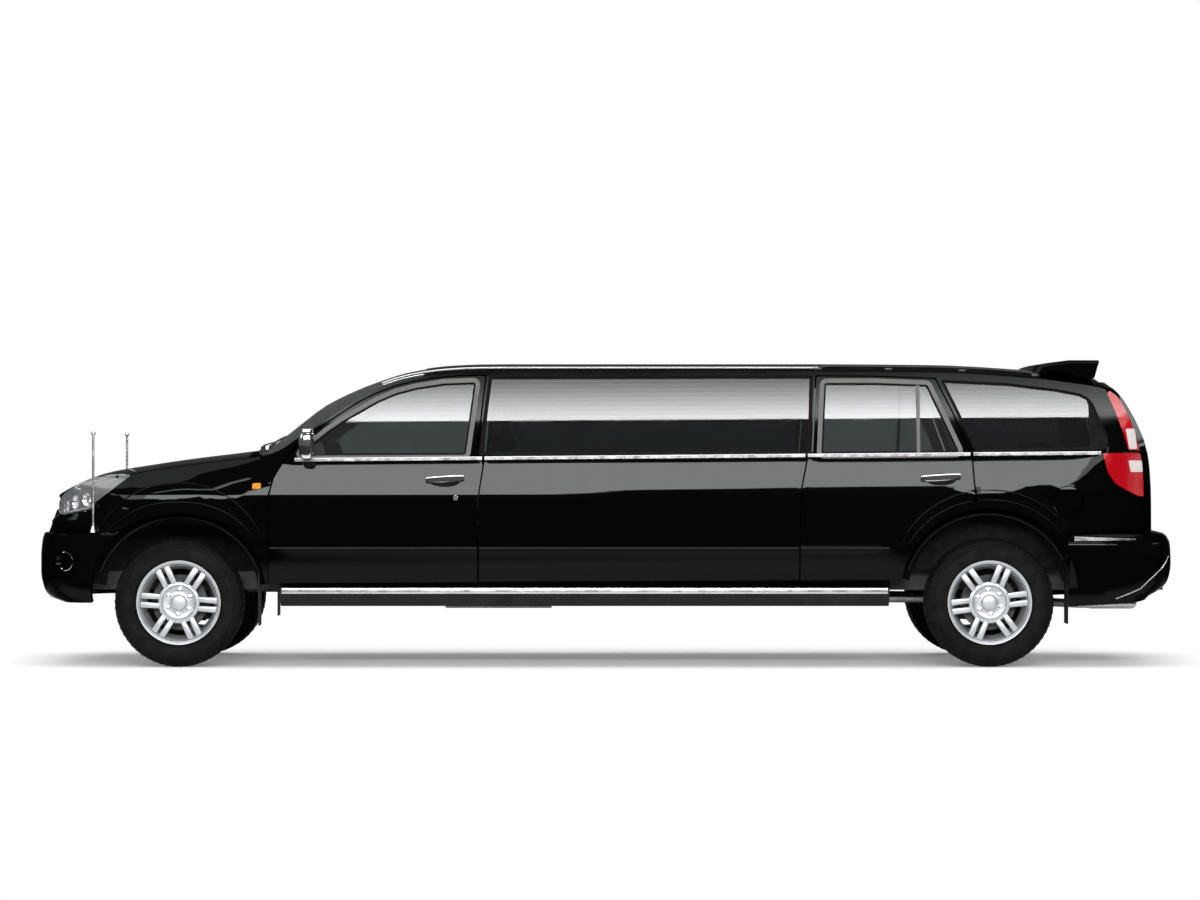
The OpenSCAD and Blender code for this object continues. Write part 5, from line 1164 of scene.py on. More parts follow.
wheelShapes = {"tyre": tyreShape(), "rim": rimShape(), "nuts": nutShape(), "disc": discShape()}
wheelFinish = {"tyre": (rubber, "tyre", 32), "rim": (alloy, "alloy", 35), "nuts": (chrome, "chrome", 30), "disc": (discSteel, "core_metal", 30)}
for end in ("front", "rear"):
    turn = rimSet["frontTurn"] if end == "front" else rimSet["rearTurn"]
    for side, tag in sides():
        node = end + "_" + tag
        for kind, shape in wheelShapes.items():
            bm = shape.copy()
            bmesh.ops.rotate(bm, verts=bm.verts, cent=(0, 0, 0), matrix=Matrix.Rotation(math.radians(-turn), 3, "Y"))
            if side < 0:
                bmesh.ops.scale(bm, vec=(1, -1, 1), verts=bm.verts)
                bmesh.ops.reverse_faces(bm, faces=bm.faces)
            bmesh.ops.translate(bm, verts=bm.verts, vec=(axles[end], side * body["track"] / 2, wheelZ))
            material, slot, angle = wheelFinish[kind]
            finishPiece(kind + end.title() + "_" + tag, bm, material, "wheel_" + node, [kind + "_" + node] if kind in ("tyre", "rim") else [], angle=angle)
print("wheels made")

# Wheel arch liners, dark shells behind the arches
for side, tag in sides():
    for end, curve, low in (("front", frontArch, 470), ("rear", rearArch, 480)):
        bm = bmesh.new()
        cx = sum(p[0] for p in curve) / len(curve)
        rings = []
        for inner, y in ((1.07, 846), (1.03, 850), (1.0, 805), (0.985, 700), (0.88, 655)):
            loop = [bm.verts.new((cx + (a - cx) * inner, side * y, wheelZ + (b - wheelZ) * inner)) for a, b in curve if b > low]
            rings.append([bm.edges.new((loop[i], loop[i + 1])) for i in range(len(loop) - 1)])
        for a, b in zip(rings, rings[1:]):
            bmesh.ops.bridge_loops(bm, edges=a + b)
        bmesh.ops.recalc_face_normals(bm, faces=bm.faces)
        finishPiece("archLiner" + end.title() + "_" + tag, bm, rubber, "car_body", thick=3)
print("arch liners made")

# Rolled edges of the flares, which catch the light
flareSet = {"front": [(560, 690, 2.15), (535, 580, 2.25)], "rear": [(580, 628, 2.1), (545, 572, 2.1)], "radius": 3.6}
for side, tag in sides():
    for end, cx, cz, lines in (("front", fa, wheelZ, flareSet["front"]), ("rear", ra - 6, wheelZ + 20, flareSet["rear"])):
        for k, (a, b, n) in enumerate(lines):
            runs = {}
            for t in np.linspace(0.05, math.pi - 0.05, 121):
                c, v = math.cos(t), math.sin(t)
                x = cx - a * math.copysign(abs(c) ** (2 / n), c) * 0.992
                z = cz + b * v ** (2 / n) * 0.992
                if end == "front":
                    rides = "car_body" if z > 760 and x < doorF0 - 6 else None
                else:
                    rides = ("door_rear_" + tag if x < doorR1 - 6 else "car_body" if x > doorR1 + 6 else None) if z > 660 and x < ra + 440 else None
                if rides:
                    runs.setdefault(rides, []).append(Vector((x, side * (float(sideY(x, z)) - 0.6), z)))
            for rides, pts in runs.items():
                if len(pts) > 3:
                    bm = bmesh.new()
                    sweep(bm, pts, circleRing(flareSet["radius"], 10), up=(0, side, 0), sizes=[min(1, 0.3 + min(i, len(pts) - 1 - i) / 8) for i in range(len(pts))])
                    finishPiece("flareEdge%d%s_%s_%s" % (k, end.title(), rides[:4], tag), bm, paint, rides)
print("flare edges made")

# Tailgate trim, rear wiper and the blank plates
rearPanel("plateBlankRear", roundedLoop([(-260, 868), (260, 868), (260, 978), (-260, 978)], 10), [], -7, 4, plateFinish, "tailgate", bevel=1)
rearPanel("plateFrameRear", roundedLoop([(-270, 858), (270, 858), (270, 988), (-270, 988)], 14), [], -3, 6, trimPlastic, "tailgate", bevel=1.5)
rearPanel("tailGarnish", roundedLoop([(-430, 1022), (430, 1022), (420, 1062), (-420, 1062)], 14), [], -12, 13, chrome, "tailgate", bevel=4)
rearPanel("tailHandle", roundedLoop([(-120, 1186), (120, 1186), (112, 1212), (-112, 1212)], 10), [], -26, 26, trimPlastic, "tailgate", bevel=5)
bm = bmesh.new()
hub = Vector((float(tailAt(np.array(0.0), np.array(1250.0))) + 4, 0, 1250))
latheShape(bm, [(0, -10), (22, -10), (20, 12), (12, 18), (0, 19)], hub, (1, 0, 0.3), 24, closed=False)
arm = [(-10 * k * 3.1, 1250 + 9 * k) for k in range(11)]
sweep(bm, [(float(tailAt(np.array(float(a)), np.array(float(b)))) + 14, a, b) for a, b in arm], boxRing(12, 6), up=(1, 0, 0), sizes=[1.2] * 3 + [0.9] * 8)
blade = [(-70 - 30 * k, 1262 + 8.5 * k) for k in range(11)]
sweep(bm, [(float(tailAt(np.array(float(a)), np.array(float(b)))) + 8, a, b - 14) for a, b in blade], boxRing(9, 10), up=(1, 0, 0))
finishPiece("rearWiper", bm, trimPlastic, "tailgate")
for name, grow, out, thick, finish in (("plateFrameFront", 7, 9, 8, trimPlastic), ("plateBlankFront", 0, 5, 4, plateFinish)):
    a, low, high = 256 + grow, 486 - grow, 584 + grow
    wrapPanel(name, roundedLoop([(-a, low), (a, low), (a, high), (-a, high)], 10), [], lambda u, z: frontBumperAt(u, z, out), thick, finish, "car_body", bevel=1, away=(-1, 0, 0))
for side, tag in sides():
    bm = bmesh.new()
    runs = np.linspace(alongPath(rearPlan, x=2675), alongPath(rearPlan, x=3035), 15)
    sweep(bm, [Vector([float(c) for c in rearBumperAt(np.array(side * float(a)), np.array(728.0), -1.0)]) for a in runs], boxRing(5, 36, 0.3), up=(0, 0, 1), sizes=[1 - 0.75 * k / 14 for k in range(15)])
    finishPiece("bumperReflector_" + tag, bm, satinSilver, "car_body")
print("tail trim and plates made")

# Window seals, frames, chrome belt strip, body moulding and handles
sealSet = {"width": 11, "proud": 1.5, "depth": 10, "strip": 21, "stripProud": 7}


def onSide(x, z, side, out=0.0, lean=True):
    # a point on the body's side, moved outwards by out
    x, z = float(x), float(z)
    return Vector((x, side * (float(sideY(x, z)) + out), z))


def ringOnSide(name, outline, inner, side, low, high, material, rides, thick=0):
    # a band between an outline and the same outline moved inwards
    bm = bmesh.new()
    outerLoop = [bm.verts.new(onSide(a, b, side, high)) for a, b in outline]
    innerLoop = [bm.verts.new(onSide(a, b, side, low)) for a, b in inner]
    edges = [bm.edges.new((outerLoop[i - 1], outerLoop[i])) for i in range(len(outerLoop))]
    edges += [bm.edges.new((innerLoop[i - 1], innerLoop[i])) for i in range(len(innerLoop))]
    bmesh.ops.bridge_loops(bm, edges=edges)
    faceAway(bm, (0, side, 0))
    return finishPiece(name, bm, material, rides, thick=thick, angle=60)


def denser(outline, step=35):
    out = []
    for i, p in enumerate(outline):
        q = outline[(i + 1) % len(outline)]
        n = max(1, int(math.dist(p, q) / step))
        out += [(p[0] + (q[0] - p[0]) * k / n, p[1] + (q[1] - p[1]) * k / n) for k in range(n)]
    return out


windowRows = [("frontWindow", frontWindow, 18, "door_front_"), ("rearWindow", rearWindow, 18, "door_rear_"), ("centreWindow", centreWindow, 16, None),
              ("quarterWindow", quarterWindow, [12, 30, 40, 30, 40, 40, 30, 30, 40, 40, 30, 14], None)]
for side, tag in sides():
    for name, line, corner, door in windowRows:
        loop = denser(roundedLoop(line, corner))
        rides = door + tag if door else "car_body"
        ringOnSide(name + "Seal_" + tag, insetLoop(loop, 0.5), insetLoop(loop, sealSet["width"]), side, -7.5, sealSet["proud"], rubber, rides, 3)
        if door:
            # the frame's grey is a painted reflection, not the colour of its paint
            ringOnSide(name + "Frame_" + tag, insetLoop(loop, -25), insetLoop(loop, 1), side, 1.2, 0.9, frameReflectionGrey, rides, 1.2)
    # dark border printed round the fixed panes
    loop = denser(roundedLoop(quarterWindow, windowRows[3][2]))
    inner = [(min(a, ra + 575), b) for a, b in insetLoop(loop, 17)]
    ringOnSide("quarterBorder_" + tag, insetLoop(loop, 8), inner, side, -9.0, -9.0, rubber, "car_body", 0.6)
    loop = denser(roundedLoop(centreWindow, 16))
    ringOnSide("centreBorder_" + tag, insetLoop(loop, 8), insetLoop(loop, 20), side, -9.0, -9.0, rubber, "car_body", 0.6)
    # divider of the rear door's window, its flat grey a painted reflection of the studio light
    bm = bmesh.new()
    sweep(bm, [onSide(ra - 405 + (ra - 400 - ra + 405) * t, belt + 34 + (roofZ - 131 - belt - 38) * t, side, -5) for t in np.linspace(0, 1, 6)], boxRing(21, 9), up=(0, side, 0))
    finishPiece("windowDivider_" + tag, bm, frameReflectionGrey, "door_rear_" + tag)
    # chrome strip along the belt, in one length for each panel
    for name, x0, x1, rides in (("beltStripFront_", fa + 662, doorF1 + 22, "door_front_" + tag), ("beltStripCentre_", doorF1 + 36, doorR0 + 33, "car_body"),
                                ("beltStripDoor_", doorR0 + 47, ra - 110, "door_rear_" + tag), ("beltStripRear_", ra - 93, ra + 636, "car_body")):
        bm = bmesh.new()
        xs = np.linspace(x0, x1, max(4, int((x1 - x0) / 60)))
        sweep(bm, [onSide(x, float(beltZ(x)) + 8, side, 1.5) for x in xs], boxRing(sealSet["stripProud"], sealSet["strip"], 0.4), up=(0, 0, 1))
        finishPiece(name + tag, bm, satinSilver, rides)
    # slim moulding line low on the side
    for name, x0, x1, rides in (("lowMouldingFront_", doorF0 + 6, doorF1 - 8, "door_front_" + tag), ("lowMouldingCentre_", doorF1 + 6, doorR0 - 6, "car_body"),
                                ("lowMouldingRear_", doorR0 + 6, ra - 575, "door_rear_" + tag)):
        bm = bmesh.new()
        sweep(bm, [onSide(x, 680, side, 0.5) for x in np.linspace(x0, x1, max(4, int((x1 - x0) / 80)))], [(3, -7), (3.6, -2), (2.4, 5), (-2, 9), (-3, -7)], up=(0, 0, 1))
        finishPiece(name + tag, bm, paint, rides)
    # door handles: chrome bar on two feet over a dark cup
    for name, x0, x1, zc, rides in (("Front", -1022, -806, 1068, "door_front_" + tag), ("Rear", 1802, 2026, 1077, "door_rear_" + tag)):
        mid = (x0 + x1) / 2
        bm = bmesh.new()
        loop = [(mid + 88 * math.cos(q * math.pi / 20), zc - 5 + 34 * math.sin(q * math.pi / 20)) for q in range(40)]
        outerLoop = [bm.verts.new(onSide(a, b, side, 0.8)) for a, b in loop]
        face = bm.faces.new(outerLoop)
        for scale, depth in ((0.93, 0.4), (0.82, -5), (0.6, -9)):
            made = bmesh.ops.inset_individual(bm, faces=[face], thickness=6 if scale > 0.9 else 8)
            for v in face.verts:
                v.co.y = side * (float(sideY(v.co.x, v.co.z)) + 0.8 - (0.9 - scale if scale < 0.9 else 0) * 2)
        faceAway(bm, (0, side, 0))
        finishPiece("handleCup" + name + "_" + tag, bm, rubber, rides, angle=80)
        bm = bmesh.new()
        ends = np.linspace(0, 1, 19)
        bar = [onSide(x0 + (x1 - x0) * t, zc + 6 + 13 * (t - 0.5), side, 12 + 12 * math.sin(math.pi * t) ** 0.6) for t in ends]
        sweep(bm, bar, boxRing(14, 38, 0.42), up=(0, 0, 1), sizes=[0.72 + 0.28 * math.sin(math.pi * t) ** 0.5 for t in ends])
        for t in (0.06, 0.94):
            spot = onSide(x0 + (x1 - x0) * t, zc + 6 + 13 * (t - 0.5), side, 5)
            block(bm, spot - Vector((13, 9, 12)), spot + Vector((13, 9, 12)), 5, 2)
        finishPiece("handleBar" + name + "_" + tag, bm, chrome, rides)
        if name == "Front":
            bm = bmesh.new()
            spot = onSide(-853, 968, side, 0)
            latheShape(bm, [(0, -2), (13, -2), (13, 2), (11, 4), (0, 4)], spot, (0, side, 0.05), 24, closed=False)
            block(bm, spot + Vector((-1.4, side * 4 - 1, -6)), spot + Vector((1.4, side * 4 + 1.4, 6)), 0.4, 1)
            finishPiece("doorLock_" + tag, bm, chrome, rides)
print("side trims made")

# Headlamps: clear cover over a dark housing with two bowls and a chrome edge
def bodyWrap(x, z, inset=0.0):
    # the body's surface as seen from the side, moved inwards by inset
    return float(sideY(x, z)) - inset


nosePath = planPath(nosePlan[:9], noseX, 1, 900)


def noseAt(s, z, inset=0.0):
    x, y, facing, beside = pathAt(nosePath, s)
    x, y = x + inset * facing, y - inset * beside
    side = np.where(s < 0, -1, 1)
    limit = plainSideY(x, z) - inset
    return x, side * softMin(y, limit, 18), z


lampLine = [(alongPath(nosePath, x=max(a, noseX + 128)), b) for a, b in headlamp]
for side, tag in sides():
    outline = [(side * a, b) for a, b in roundedLoop(insetLoop(lampLine, 1), 10)]
    wrapPanel("headlampCover_" + tag, outline, [], noseAt, 4, lampGlass, "car_body", ["headlamps"], step=(30, 24), bevel=0, away=(-0.5, side, 0))
    wrapPanel("headlampHousing_" + tag, [(side * a, b) for a, b in insetLoop(lampLine, 2)], [], lambda s, z: noseAt(s, z, 46), 3, lampInner, "car_body", step=(30, 24), bevel=0, away=(-0.5, side, 0))
    bm = bmesh.new()
    half = len(lampLine) // 2
    pts = []
    for a, b in denser(insetLoop(lampLine, 5), 30):
        p, q = [Vector([float(c) for c in noseAt(np.array(side * a), np.array(float(b)), d)]) for d in (5, 47)]
        pts.append((bm.verts.new(p), bm.verts.new(q)))
    loops = [bm.edges.new((pts[i - 1][k], pts[i][k])) for k in (0, 1) for i in range(len(pts))]
    bmesh.ops.bridge_loops(bm, edges=loops)
    finishPiece("headlampWall_" + tag, bm, lampInner, "car_body", thick=1.5)
    for k, (a, z, r, out) in enumerate(((170, 902, 30, (-1, 0.25, 0.02)), (262, 915, 33, (-1, 0.35, 0.02)), (372, 938, 38, (-0.9, 0.6, 0.05)), (470, 955, 34, (-0.7, 0.9, 0.05)))):
        s0 = alongPath(nosePath, y=400) + a
        centre = Vector([float(c) for c in noseAt(np.array(side * s0), np.array(float(z)), 30)])
        axis = Vector((out[0], side * out[1], out[2]))
        bm = bmesh.new()
        latheShape(bm, [(0, -24), (r * 0.4, -22), (r * 0.75, -13), (r, 4), (r + 2.5, 6), (r + 2.5, 3), (r, -2), (r * 0.78, -17), (r * 0.4, -26), (0, -28)], centre, axis, 36, closed=False)
        finishPiece("headlampBowl%d_%s" % (k, tag), bm, chrome, "car_body")
        bm = bmesh.new()
        latheShape(bm, [(0, 2), (r * 0.25, 0.5), (r * 0.42, -5), (r * 0.45, -12), (0, -14)], centre, axis, 28, closed=False)
        finishPiece("headlampBulb%d_%s" % (k, tag), bm, lampGlass, "car_body")
    bm = bmesh.new()
    low = [(alongPath(nosePath, x=max(a, noseX + 128)), b + 5) for a, b in ((noseX + 85, roofZ - 870), (fa - 668, roofZ - 870), (fa - 600, roofZ - 857), (fa - 530, roofZ - 844), (fa - 500, roofZ - 826))]
    sweep(bm, [Vector([float(c) for c in noseAt(np.array(side * a), np.array(float(b)), 9)]) for a, b in low], boxRing(14, 9), up=(0, 0, 1))
    finishPiece("headlampBrow_" + tag, bm, satinSilver, "car_body")
    # side indicator
    bm = bmesh.new()
    loop = roundedLoop([(-2014, 1016), (-1964, 1020), (-1962, 1052), (-2012, 1050)], 9)
    face = bm.faces.new([bm.verts.new(onSide(a, b, side, 0.2)) for a, b in loop])
    made = bmesh.ops.extrude_face_region(bm, geom=[face])["geom"]
    bmesh.ops.translate(bm, vec=(0, side * 8, 0), verts=[g for g in made if isinstance(g, bmesh.types.BMVert)])
    top = [g for g in made if isinstance(g, bmesh.types.BMFace)]
    bmesh.ops.inset_individual(bm, faces=top, thickness=5, depth=2)
    bmesh.ops.recalc_face_normals(bm, faces=bm.faces)
    finishPiece("sideIndicator_" + tag, bm, amberLens, "car_body", bevel=1)
print("headlamps made")

# Tail lamps: lens bodies wrapped round the rear corner, with clear fields
tailPath = planPath(tailPlan[:9], tailX, -1, 900)


def cornerAt(side, inset=0.0):
    # the rear corner seen from the side: x and z give the place, the tail limits how far back it reaches
    def where(x, z):
        y = np.minimum(plainSideY(x, z), planY(x)) - inset
        flat = crownRear(x, z)
        y = np.minimum(y, flat)
        return x, side * y, z
    return where


def lampY(x, z):
    # the lens surface: the body's side, rounded in where the tail cuts it off
    x, z = np.asarray(x, float), np.asarray(z, float)
    return softMin(softMin(plainSideY(x, z), planY(x), 18), crownRear(x, z), 12)


def crownRear(x, z):
    # half width of the tail where the roof's crown has come down to height z
    e, t = edgeZ(x), topZ(x)
    k = np.clip((z - e) / np.maximum(t - e, 1), 0, 0.999)
    return plainSideY(x, np.minimum(e, z)) * (1 - k) ** (1 / 2.2)


upperLens = [(ra + 684, roofZ - 176), (ra + 703, roofZ - 168), (ra + 742, roofZ - 198), (ra + 776, roofZ - 254), (ra + 812, roofZ - 334), (ra + 846, roofZ - 420), (ra + 868, roofZ - 505),
             (ra + 803, roofZ - 507), (ra + 734, roofZ - 306)]
lowerLens = [(ra + 644, roofZ - 524), (ra + 874, roofZ - 524), (ra + 890, roofZ - 620), (ra + 898, roofZ - 772), (ra + 866, roofZ - 771), (ra + 797, roofZ - 740), (ra + 722, roofZ - 698), (ra + 678, roofZ - 636)]
clearFields = [[(ra + 783, roofZ - 384), (ra + 838, roofZ - 384), (ra + 853, roofZ - 500), (ra + 806, roofZ - 500)], [(ra + 800, roofZ - 566), (ra + 884, roofZ - 566), (ra + 892, roofZ - 632), (ra + 815, roofZ - 632)]]
for side, tag in sides():
    for k, line in enumerate((upperLens, lowerLens)):
        bm = flatSheet(roundedLoop(line, 8), [], gridCuts(ra + 640, ra + 900, 16), gridCuts(roofZ - 780, roofZ - 160, 26))
        place(bm, lambda x, z: (x, side * (lampY(x, z) + 3), z))
        faceAway(bm, (0, side, 0))
        finishPiece("tailLens%d_%s" % (k, tag), bm, redLens, "car_body", ["tail_lamps"], thick=26, bevel=3)
    for k, line in enumerate(clearFields):
        bm = flatSheet(roundedLoop(line, 8), [], gridCuts(ra + 780, ra + 893, 14), gridCuts(roofZ - 640, roofZ - 380, 20))
        place(bm, lambda x, z: (x, side * (lampY(x, z) + 6.5), z))
        faceAway(bm, (0, side, 0))
        finishPiece("tailClear%d_%s" % (k, tag), bm, clearField, "car_body", thick=6, bevel=1.2)
print("tail lamps made")

# Mirrors: a shell on a foot, with its glass
mirrorSet = {"x": (fa + 690, fa + 835), "y": (880, 1042), "z": (1196, 1378)}
for side, tag in sides():
    bm = bmesh.new()
    made = bmesh.ops.create_cube(bm, size=1)["verts"]
    bmesh.ops.subdivide_edges(bm, edges=bm.edges[:], cuts=3, use_grid_fill=True)
    for v in bm.verts:
        c = v.co * 2
        d = Vector((c.x * math.sqrt(1 - c.y ** 2 / 2 * 0.8) * math.sqrt(1 - c.z ** 2 / 2 * 0.8), c.y * math.sqrt(1 - c.x ** 2 / 2 * 0.4) * math.sqrt(1 - c.z ** 2 / 2 * 0.4), c.z * math.sqrt(1 - c.y ** 2 / 2 * 0.3)))
        depth = d.x * (62 if d.x < 0 else 26)
        v.co = Vector((fa + 752 + depth, side * (962 + d.y * 80), 1286 + d.z * 88 - 10 * (d.y + 1)))
    bmesh.ops.recalc_face_normals(bm, faces=bm.faces)
    shell = finishPiece("mirrorCap_" + tag, bm, chrome, "door_front_" + tag, ["mirror_" + tag])
    mod = shell.modifiers.new("round", "SUBSURF")
    mod.levels = mod.render_levels = 2
    bm = bmesh.new()
    loop = roundedLoop([(902, 1212), (1020, 1206), (1030, 1352), (910, 1356)], 24)
    plateFrom(bm, insetLoop(loop, -6), 14, lambda a, b, c: (fa + 762 + c, side * a, b))
    finishPiece("mirrorRim_" + tag, bm, trimPlastic, "door_front_" + tag, bevel=3)
    bm = bmesh.new()
    plateFrom(bm, insetLoop(loop, 3), 3, lambda a, b, c: (fa + 775 + c, side * a, b))
    finishPiece("mirrorGlass_" + tag, bm, chrome, "door_front_" + tag, bevel=0.6)
    bm = bmesh.new()
    sweep(bm, [(fa + 742, side * 846, 1222), (fa + 744, side * 872, 1216), (fa + 750, side * 905, 1212), (fa + 756, side * 935, 1216)], boxRing(38, 34, 0.45), up=(0, 0, 1), sizes=[1.25, 1.1, 1, 0.9])
    finishPiece("mirrorFoot_" + tag, bm, trimPlastic, "door_front_" + tag, bevel=3)
    bm = bmesh.new()
    sail = roundedLoop([(fa + 676, belt + 16), (fa + 842, belt + 20), (fa + 812, belt + 105)], 12)
    face = bm.faces.new([bm.verts.new(onSide(a, b, side, -3)) for a, b in sail])
    faceAway(bm, (0, side, 0))
    finishPiece("mirrorSail_" + tag, bm, trimPlastic, "door_front_" + tag, thick=10, bevel=2)
print("mirrors made")

# Spoiler: a wing on its raised tail, and the roof rails
spoilerSet = {"side": [(ra + 262, roofZ - 86), (ra + 272, roofZ - 66), (ra + 305, roofZ - 13), (ra + 400, roofZ + 3), (ra + 489, roofZ + 14), (ra + 673, roofZ + 14), (ra + 660, roofZ - 20),
                       (ra + 640, roofZ - 92), (ra + 600, roofZ - 96), (ra + 470, roofZ - 60), (ra + 380, roofZ - 40)], "half": 590}
bm = bmesh.new()
rows = []
for y, drop, cut in ((-590, 16, 60), (-574, 4, 22), (-520, 0, 8), (-260, -2, 2), (0, -3, 0), (260, -2, 2), (520, 0, 8), (574, 4, 22), (590, 16, 60)):
    mid = ra + 460
    loop = [bm.verts.new((mid + (a - mid) * (1 - cut / 420), y, min(b - drop * (b > roofZ - 30), roofZ + 14) if b > roofZ - 58 else b)) for a, b in roundedLoop(spoilerSet["side"], 14, 3)]
    rows.append([bm.edges.new((loop[i - 1], loop[i])) for i in range(len(loop))])
for a, b in zip(rows, rows[1:]):
    bmesh.ops.bridge_loops(bm, edges=a + b)
bmesh.ops.contextual_create(bm, geom=rows[0])
bmesh.ops.contextual_create(bm, geom=rows[-1])
bmesh.ops.recalc_face_normals(bm, faces=bm.faces)
finishPiece("spoilerWing", bm, paint, "car_body", ["spoiler"], bevel=3, angle=32)
bm = bmesh.new()
for k in range(14):
    y = -182 + 28 * k
    block(bm, (ra + 634, y - 12, roofZ - 62), (ra + 655, y + 12, roofZ - 46), 2, 1)
finishPiece("highStopLamp", bm, redLens, "car_body")
railSet = {"from": 1208, "to": 2498, "y": 625, "lift": 33, "highlightAcross": 0.76, "highlightAlong": np.linspace(-1290, 1240, 70)}
for side, tag in sides():
    bm = bmesh.new()
    ts = np.linspace(0, 1, 33)
    path = []
    for t in ts:
        x = railSet["from"] + (railSet["to"] - railSet["from"]) * t
        rise = railSet["lift"] * min(1, (min(t, 1 - t) / 0.055)) ** 0.5 if 0 < t < 1 else 0
        path.append((x, side * railSet["y"], float(crownZ(x, railSet["y"])) - 3 + rise * 0.62 + 3))
    sweep(bm, path, boxRing(26, 24, 0.48), up=(0, 0, 1), sizes=[0.55 + 0.45 * min(1, min(t, 1 - t) / 0.04) for t in ts])
    for t in (0.015, 0.33, 0.66, 0.985):
        x = railSet["from"] + (railSet["to"] - railSet["from"]) * t
        z = float(crownZ(x, railSet["y"]))
        block(bm, (x - 24, side * railSet["y"] - 11, z - 8), (x + 24, side * railSet["y"] + 11, z + 16), 4, 2)
    finishPiece("roofRail_" + tag, bm, trimGloss, "car_body", ["roof_rails"])
    # silver strip along the roof's edge: a painted highlight standing in for the bright line on the roof's edge
    bm = bmesh.new()
    ys = [railSet["highlightAcross"] * float(plainSideY(x, edgeZ(x))) for x in railSet["highlightAlong"]]
    sweep(bm, [Vector((x, side * y, float(crownZ(x, y)) + 1)) for x, y in zip(railSet["highlightAlong"], ys)], boxRing(9, 7, 0.4), up=(0, 0, 1))
    finishPiece("roofHighlightStrip_" + tag, bm, satinSilver, "car_body")
print("spoiler and rails made")

# Running boards with rubber treads and a bright strip along their edge
boardSet = {"from": fa + 581, "to": ra - 574, "top": 455, "edge": 906}
for side, tag in sides():
    bm = bmesh.new()
    ends = [(boardSet["from"], 0.7), (boardSet["from"] + 60, 0.95), (boardSet["from"] + 180, 1)] + [(x, 1) for x in np.linspace(boardSet["from"] + 400, boardSet["to"] - 400, 8)] + \
        [(boardSet["to"] - 180, 1), (boardSet["to"] - 60, 0.95), (boardSet["to"], 0.7)]
    profile = [(-66, 8), (60, 8), (66, 3), (67, -12), (60, -26), (40, -44), (10, -80), (-12, -98), (-30, -98), (-60, -60), (-66, -20)]
    sweep(bm, [(x, side * 838, boardSet["top"] - 9) for x, _ in ends], profile, up=(0, 0, 1))
    if side > 0:
        bmesh.ops.scale(bm, vec=(1, -1, 1), verts=bm.verts, space=Matrix.Translation((0, -838, 0)))
    bmesh.ops.recalc_face_normals(bm, faces=bm.faces)
    finishPiece("runningBoard_" + tag, bm, trimPlastic, "car_body", ["running_boards"], bevel=2)
    bm = bmesh.new()
    for k in range(9):
        y = side * (790 + 12.5 * k)
        block(bm, (boardSet["from"] + 30, y - 3.2, boardSet["top"] - 2), (boardSet["to"] - 30, y + 3.2, boardSet["top"] + 1.6), 0.8, 1)
    finishPiece("boardTreads_" + tag, bm, rubber, "car_body")
    bm = bmesh.new()
    block(bm, (boardSet["from"] + 10, side * 904 - 2.0, 421), (boardSet["to"] - 10, side * 904 + 1.6, 453), 1.4, 2)
    finishPiece("boardStrip_" + tag, bm, satinSilver, "car_body")
print("running boards made")

# Wipers
bm = bmesh.new()
for y0, turn in ((-470, 1), (120, 1)):
    base = Vector((fa + 452, y0, glassFoot + 8))
    arm = [base, base + Vector((6, 20, 16)), base + Vector((34, 190, 30)), base + Vector((52, 330, 38))]
    sweep(bm, arm, boxRing(13, 7), up=(0, 0, 1), sizes=[1.2, 1.1, 0.9, 0.7])
    latheShape(bm, [(0, -14), (14, -14), (14, 6), (10, 11), (0, 12)], base, (0, 0, 1), 20, closed=False)
    blade = []
    for t in np.linspace(0, 1, 13):
        y = y0 + 60 + 500 * t
        x = fa + 486 + 60 * t
        blade.append((x, y, float(crownZ(x, y)) + 9))
    sweep(bm, blade, boxRing(7, 12), up=(0, 0, 1))
finishPiece("wiperArms", bm, trimPlastic, "car_body")
print("wipers made")

# Floor, backdrop and light
stageSet = {"floorSize": 90, "floorWhite": 0.92, "shadowShare": 0.85, "shadowInner": 0.75, "shadowOuter": 1.3}
floorMesh = bpy.data.meshes.new("studioFloor")
bm = bmesh.new()
bmesh.ops.create_grid(bm, x_segments=1, y_segments=1, size=stageSet["floorSize"])
bm.to_mesh(floorMesh)
bm.free()
floor = bpy.data.objects.new("studioFloor", floorMesh)
bpy.context.scene.collection.objects.link(floor)
mat = bpy.data.materials.new("studioWhite")
mat.use_nodes = True
tree = mat.node_tree
tree.nodes.clear()
output = tree.nodes.new("ShaderNodeOutputMaterial")
diffuse = tree.nodes.new("ShaderNodeBsdfDiffuse")
diffuse.inputs["Color"].default_value = (stageSet["floorWhite"],) * 3 + (1,)
glow = tree.nodes.new("ShaderNodeEmission")
mix = tree.nodes.new("ShaderNodeMixShader")
rays = tree.nodes.new("ShaderNodeLightPath")
seen = tree.nodes.new("ShaderNodeMath")
seen.operation = "MAXIMUM"
both = tree.nodes.new("ShaderNodeMath")
both.operation = "MAXIMUM"
share = tree.nodes.new("ShaderNodeMath")
share.operation = "MULTIPLY"
spot = tree.nodes.new("ShaderNodeTexCoord")
spread = tree.nodes.new("ShaderNodeMapping")
spread.inputs["Scale"].default_value = (1 / 5.2, 1 / 3.4, 1)
reach = tree.nodes.new("ShaderNodeVectorMath")
reach.operation = "LENGTH"
fade = tree.nodes.new("ShaderNodeMapRange")
fade.interpolation_type = "SMOOTHSTEP"
fade.inputs["From Min"].default_value = stageSet["shadowInner"]
fade.inputs["From Max"].default_value = stageSet["shadowOuter"]
fade.inputs["To Min"].default_value = 1 - stageSet["shadowShare"]
fade.inputs["To Max"].default_value = 1.0
tree.links.new(spot.outputs["Object"], spread.inputs["Vector"])
tree.links.new(spread.outputs["Vector"], reach.inputs[0])
tree.links.new(reach.outputs["Value"], fade.inputs["Value"])
tree.links.new(fade.outputs["Result"], share.inputs[1])
tree.links.new(rays.outputs["Is Camera Ray"], seen.inputs[0])
tree.links.new(rays.outputs["Is Glossy Ray"], seen.inputs[1])
tree.links.new(seen.outputs[0], both.inputs[0])
tree.links.new(rays.outputs["Is Transmission Ray"], both.inputs[1])
tree.links.new(both.outputs[0], share.inputs[0])
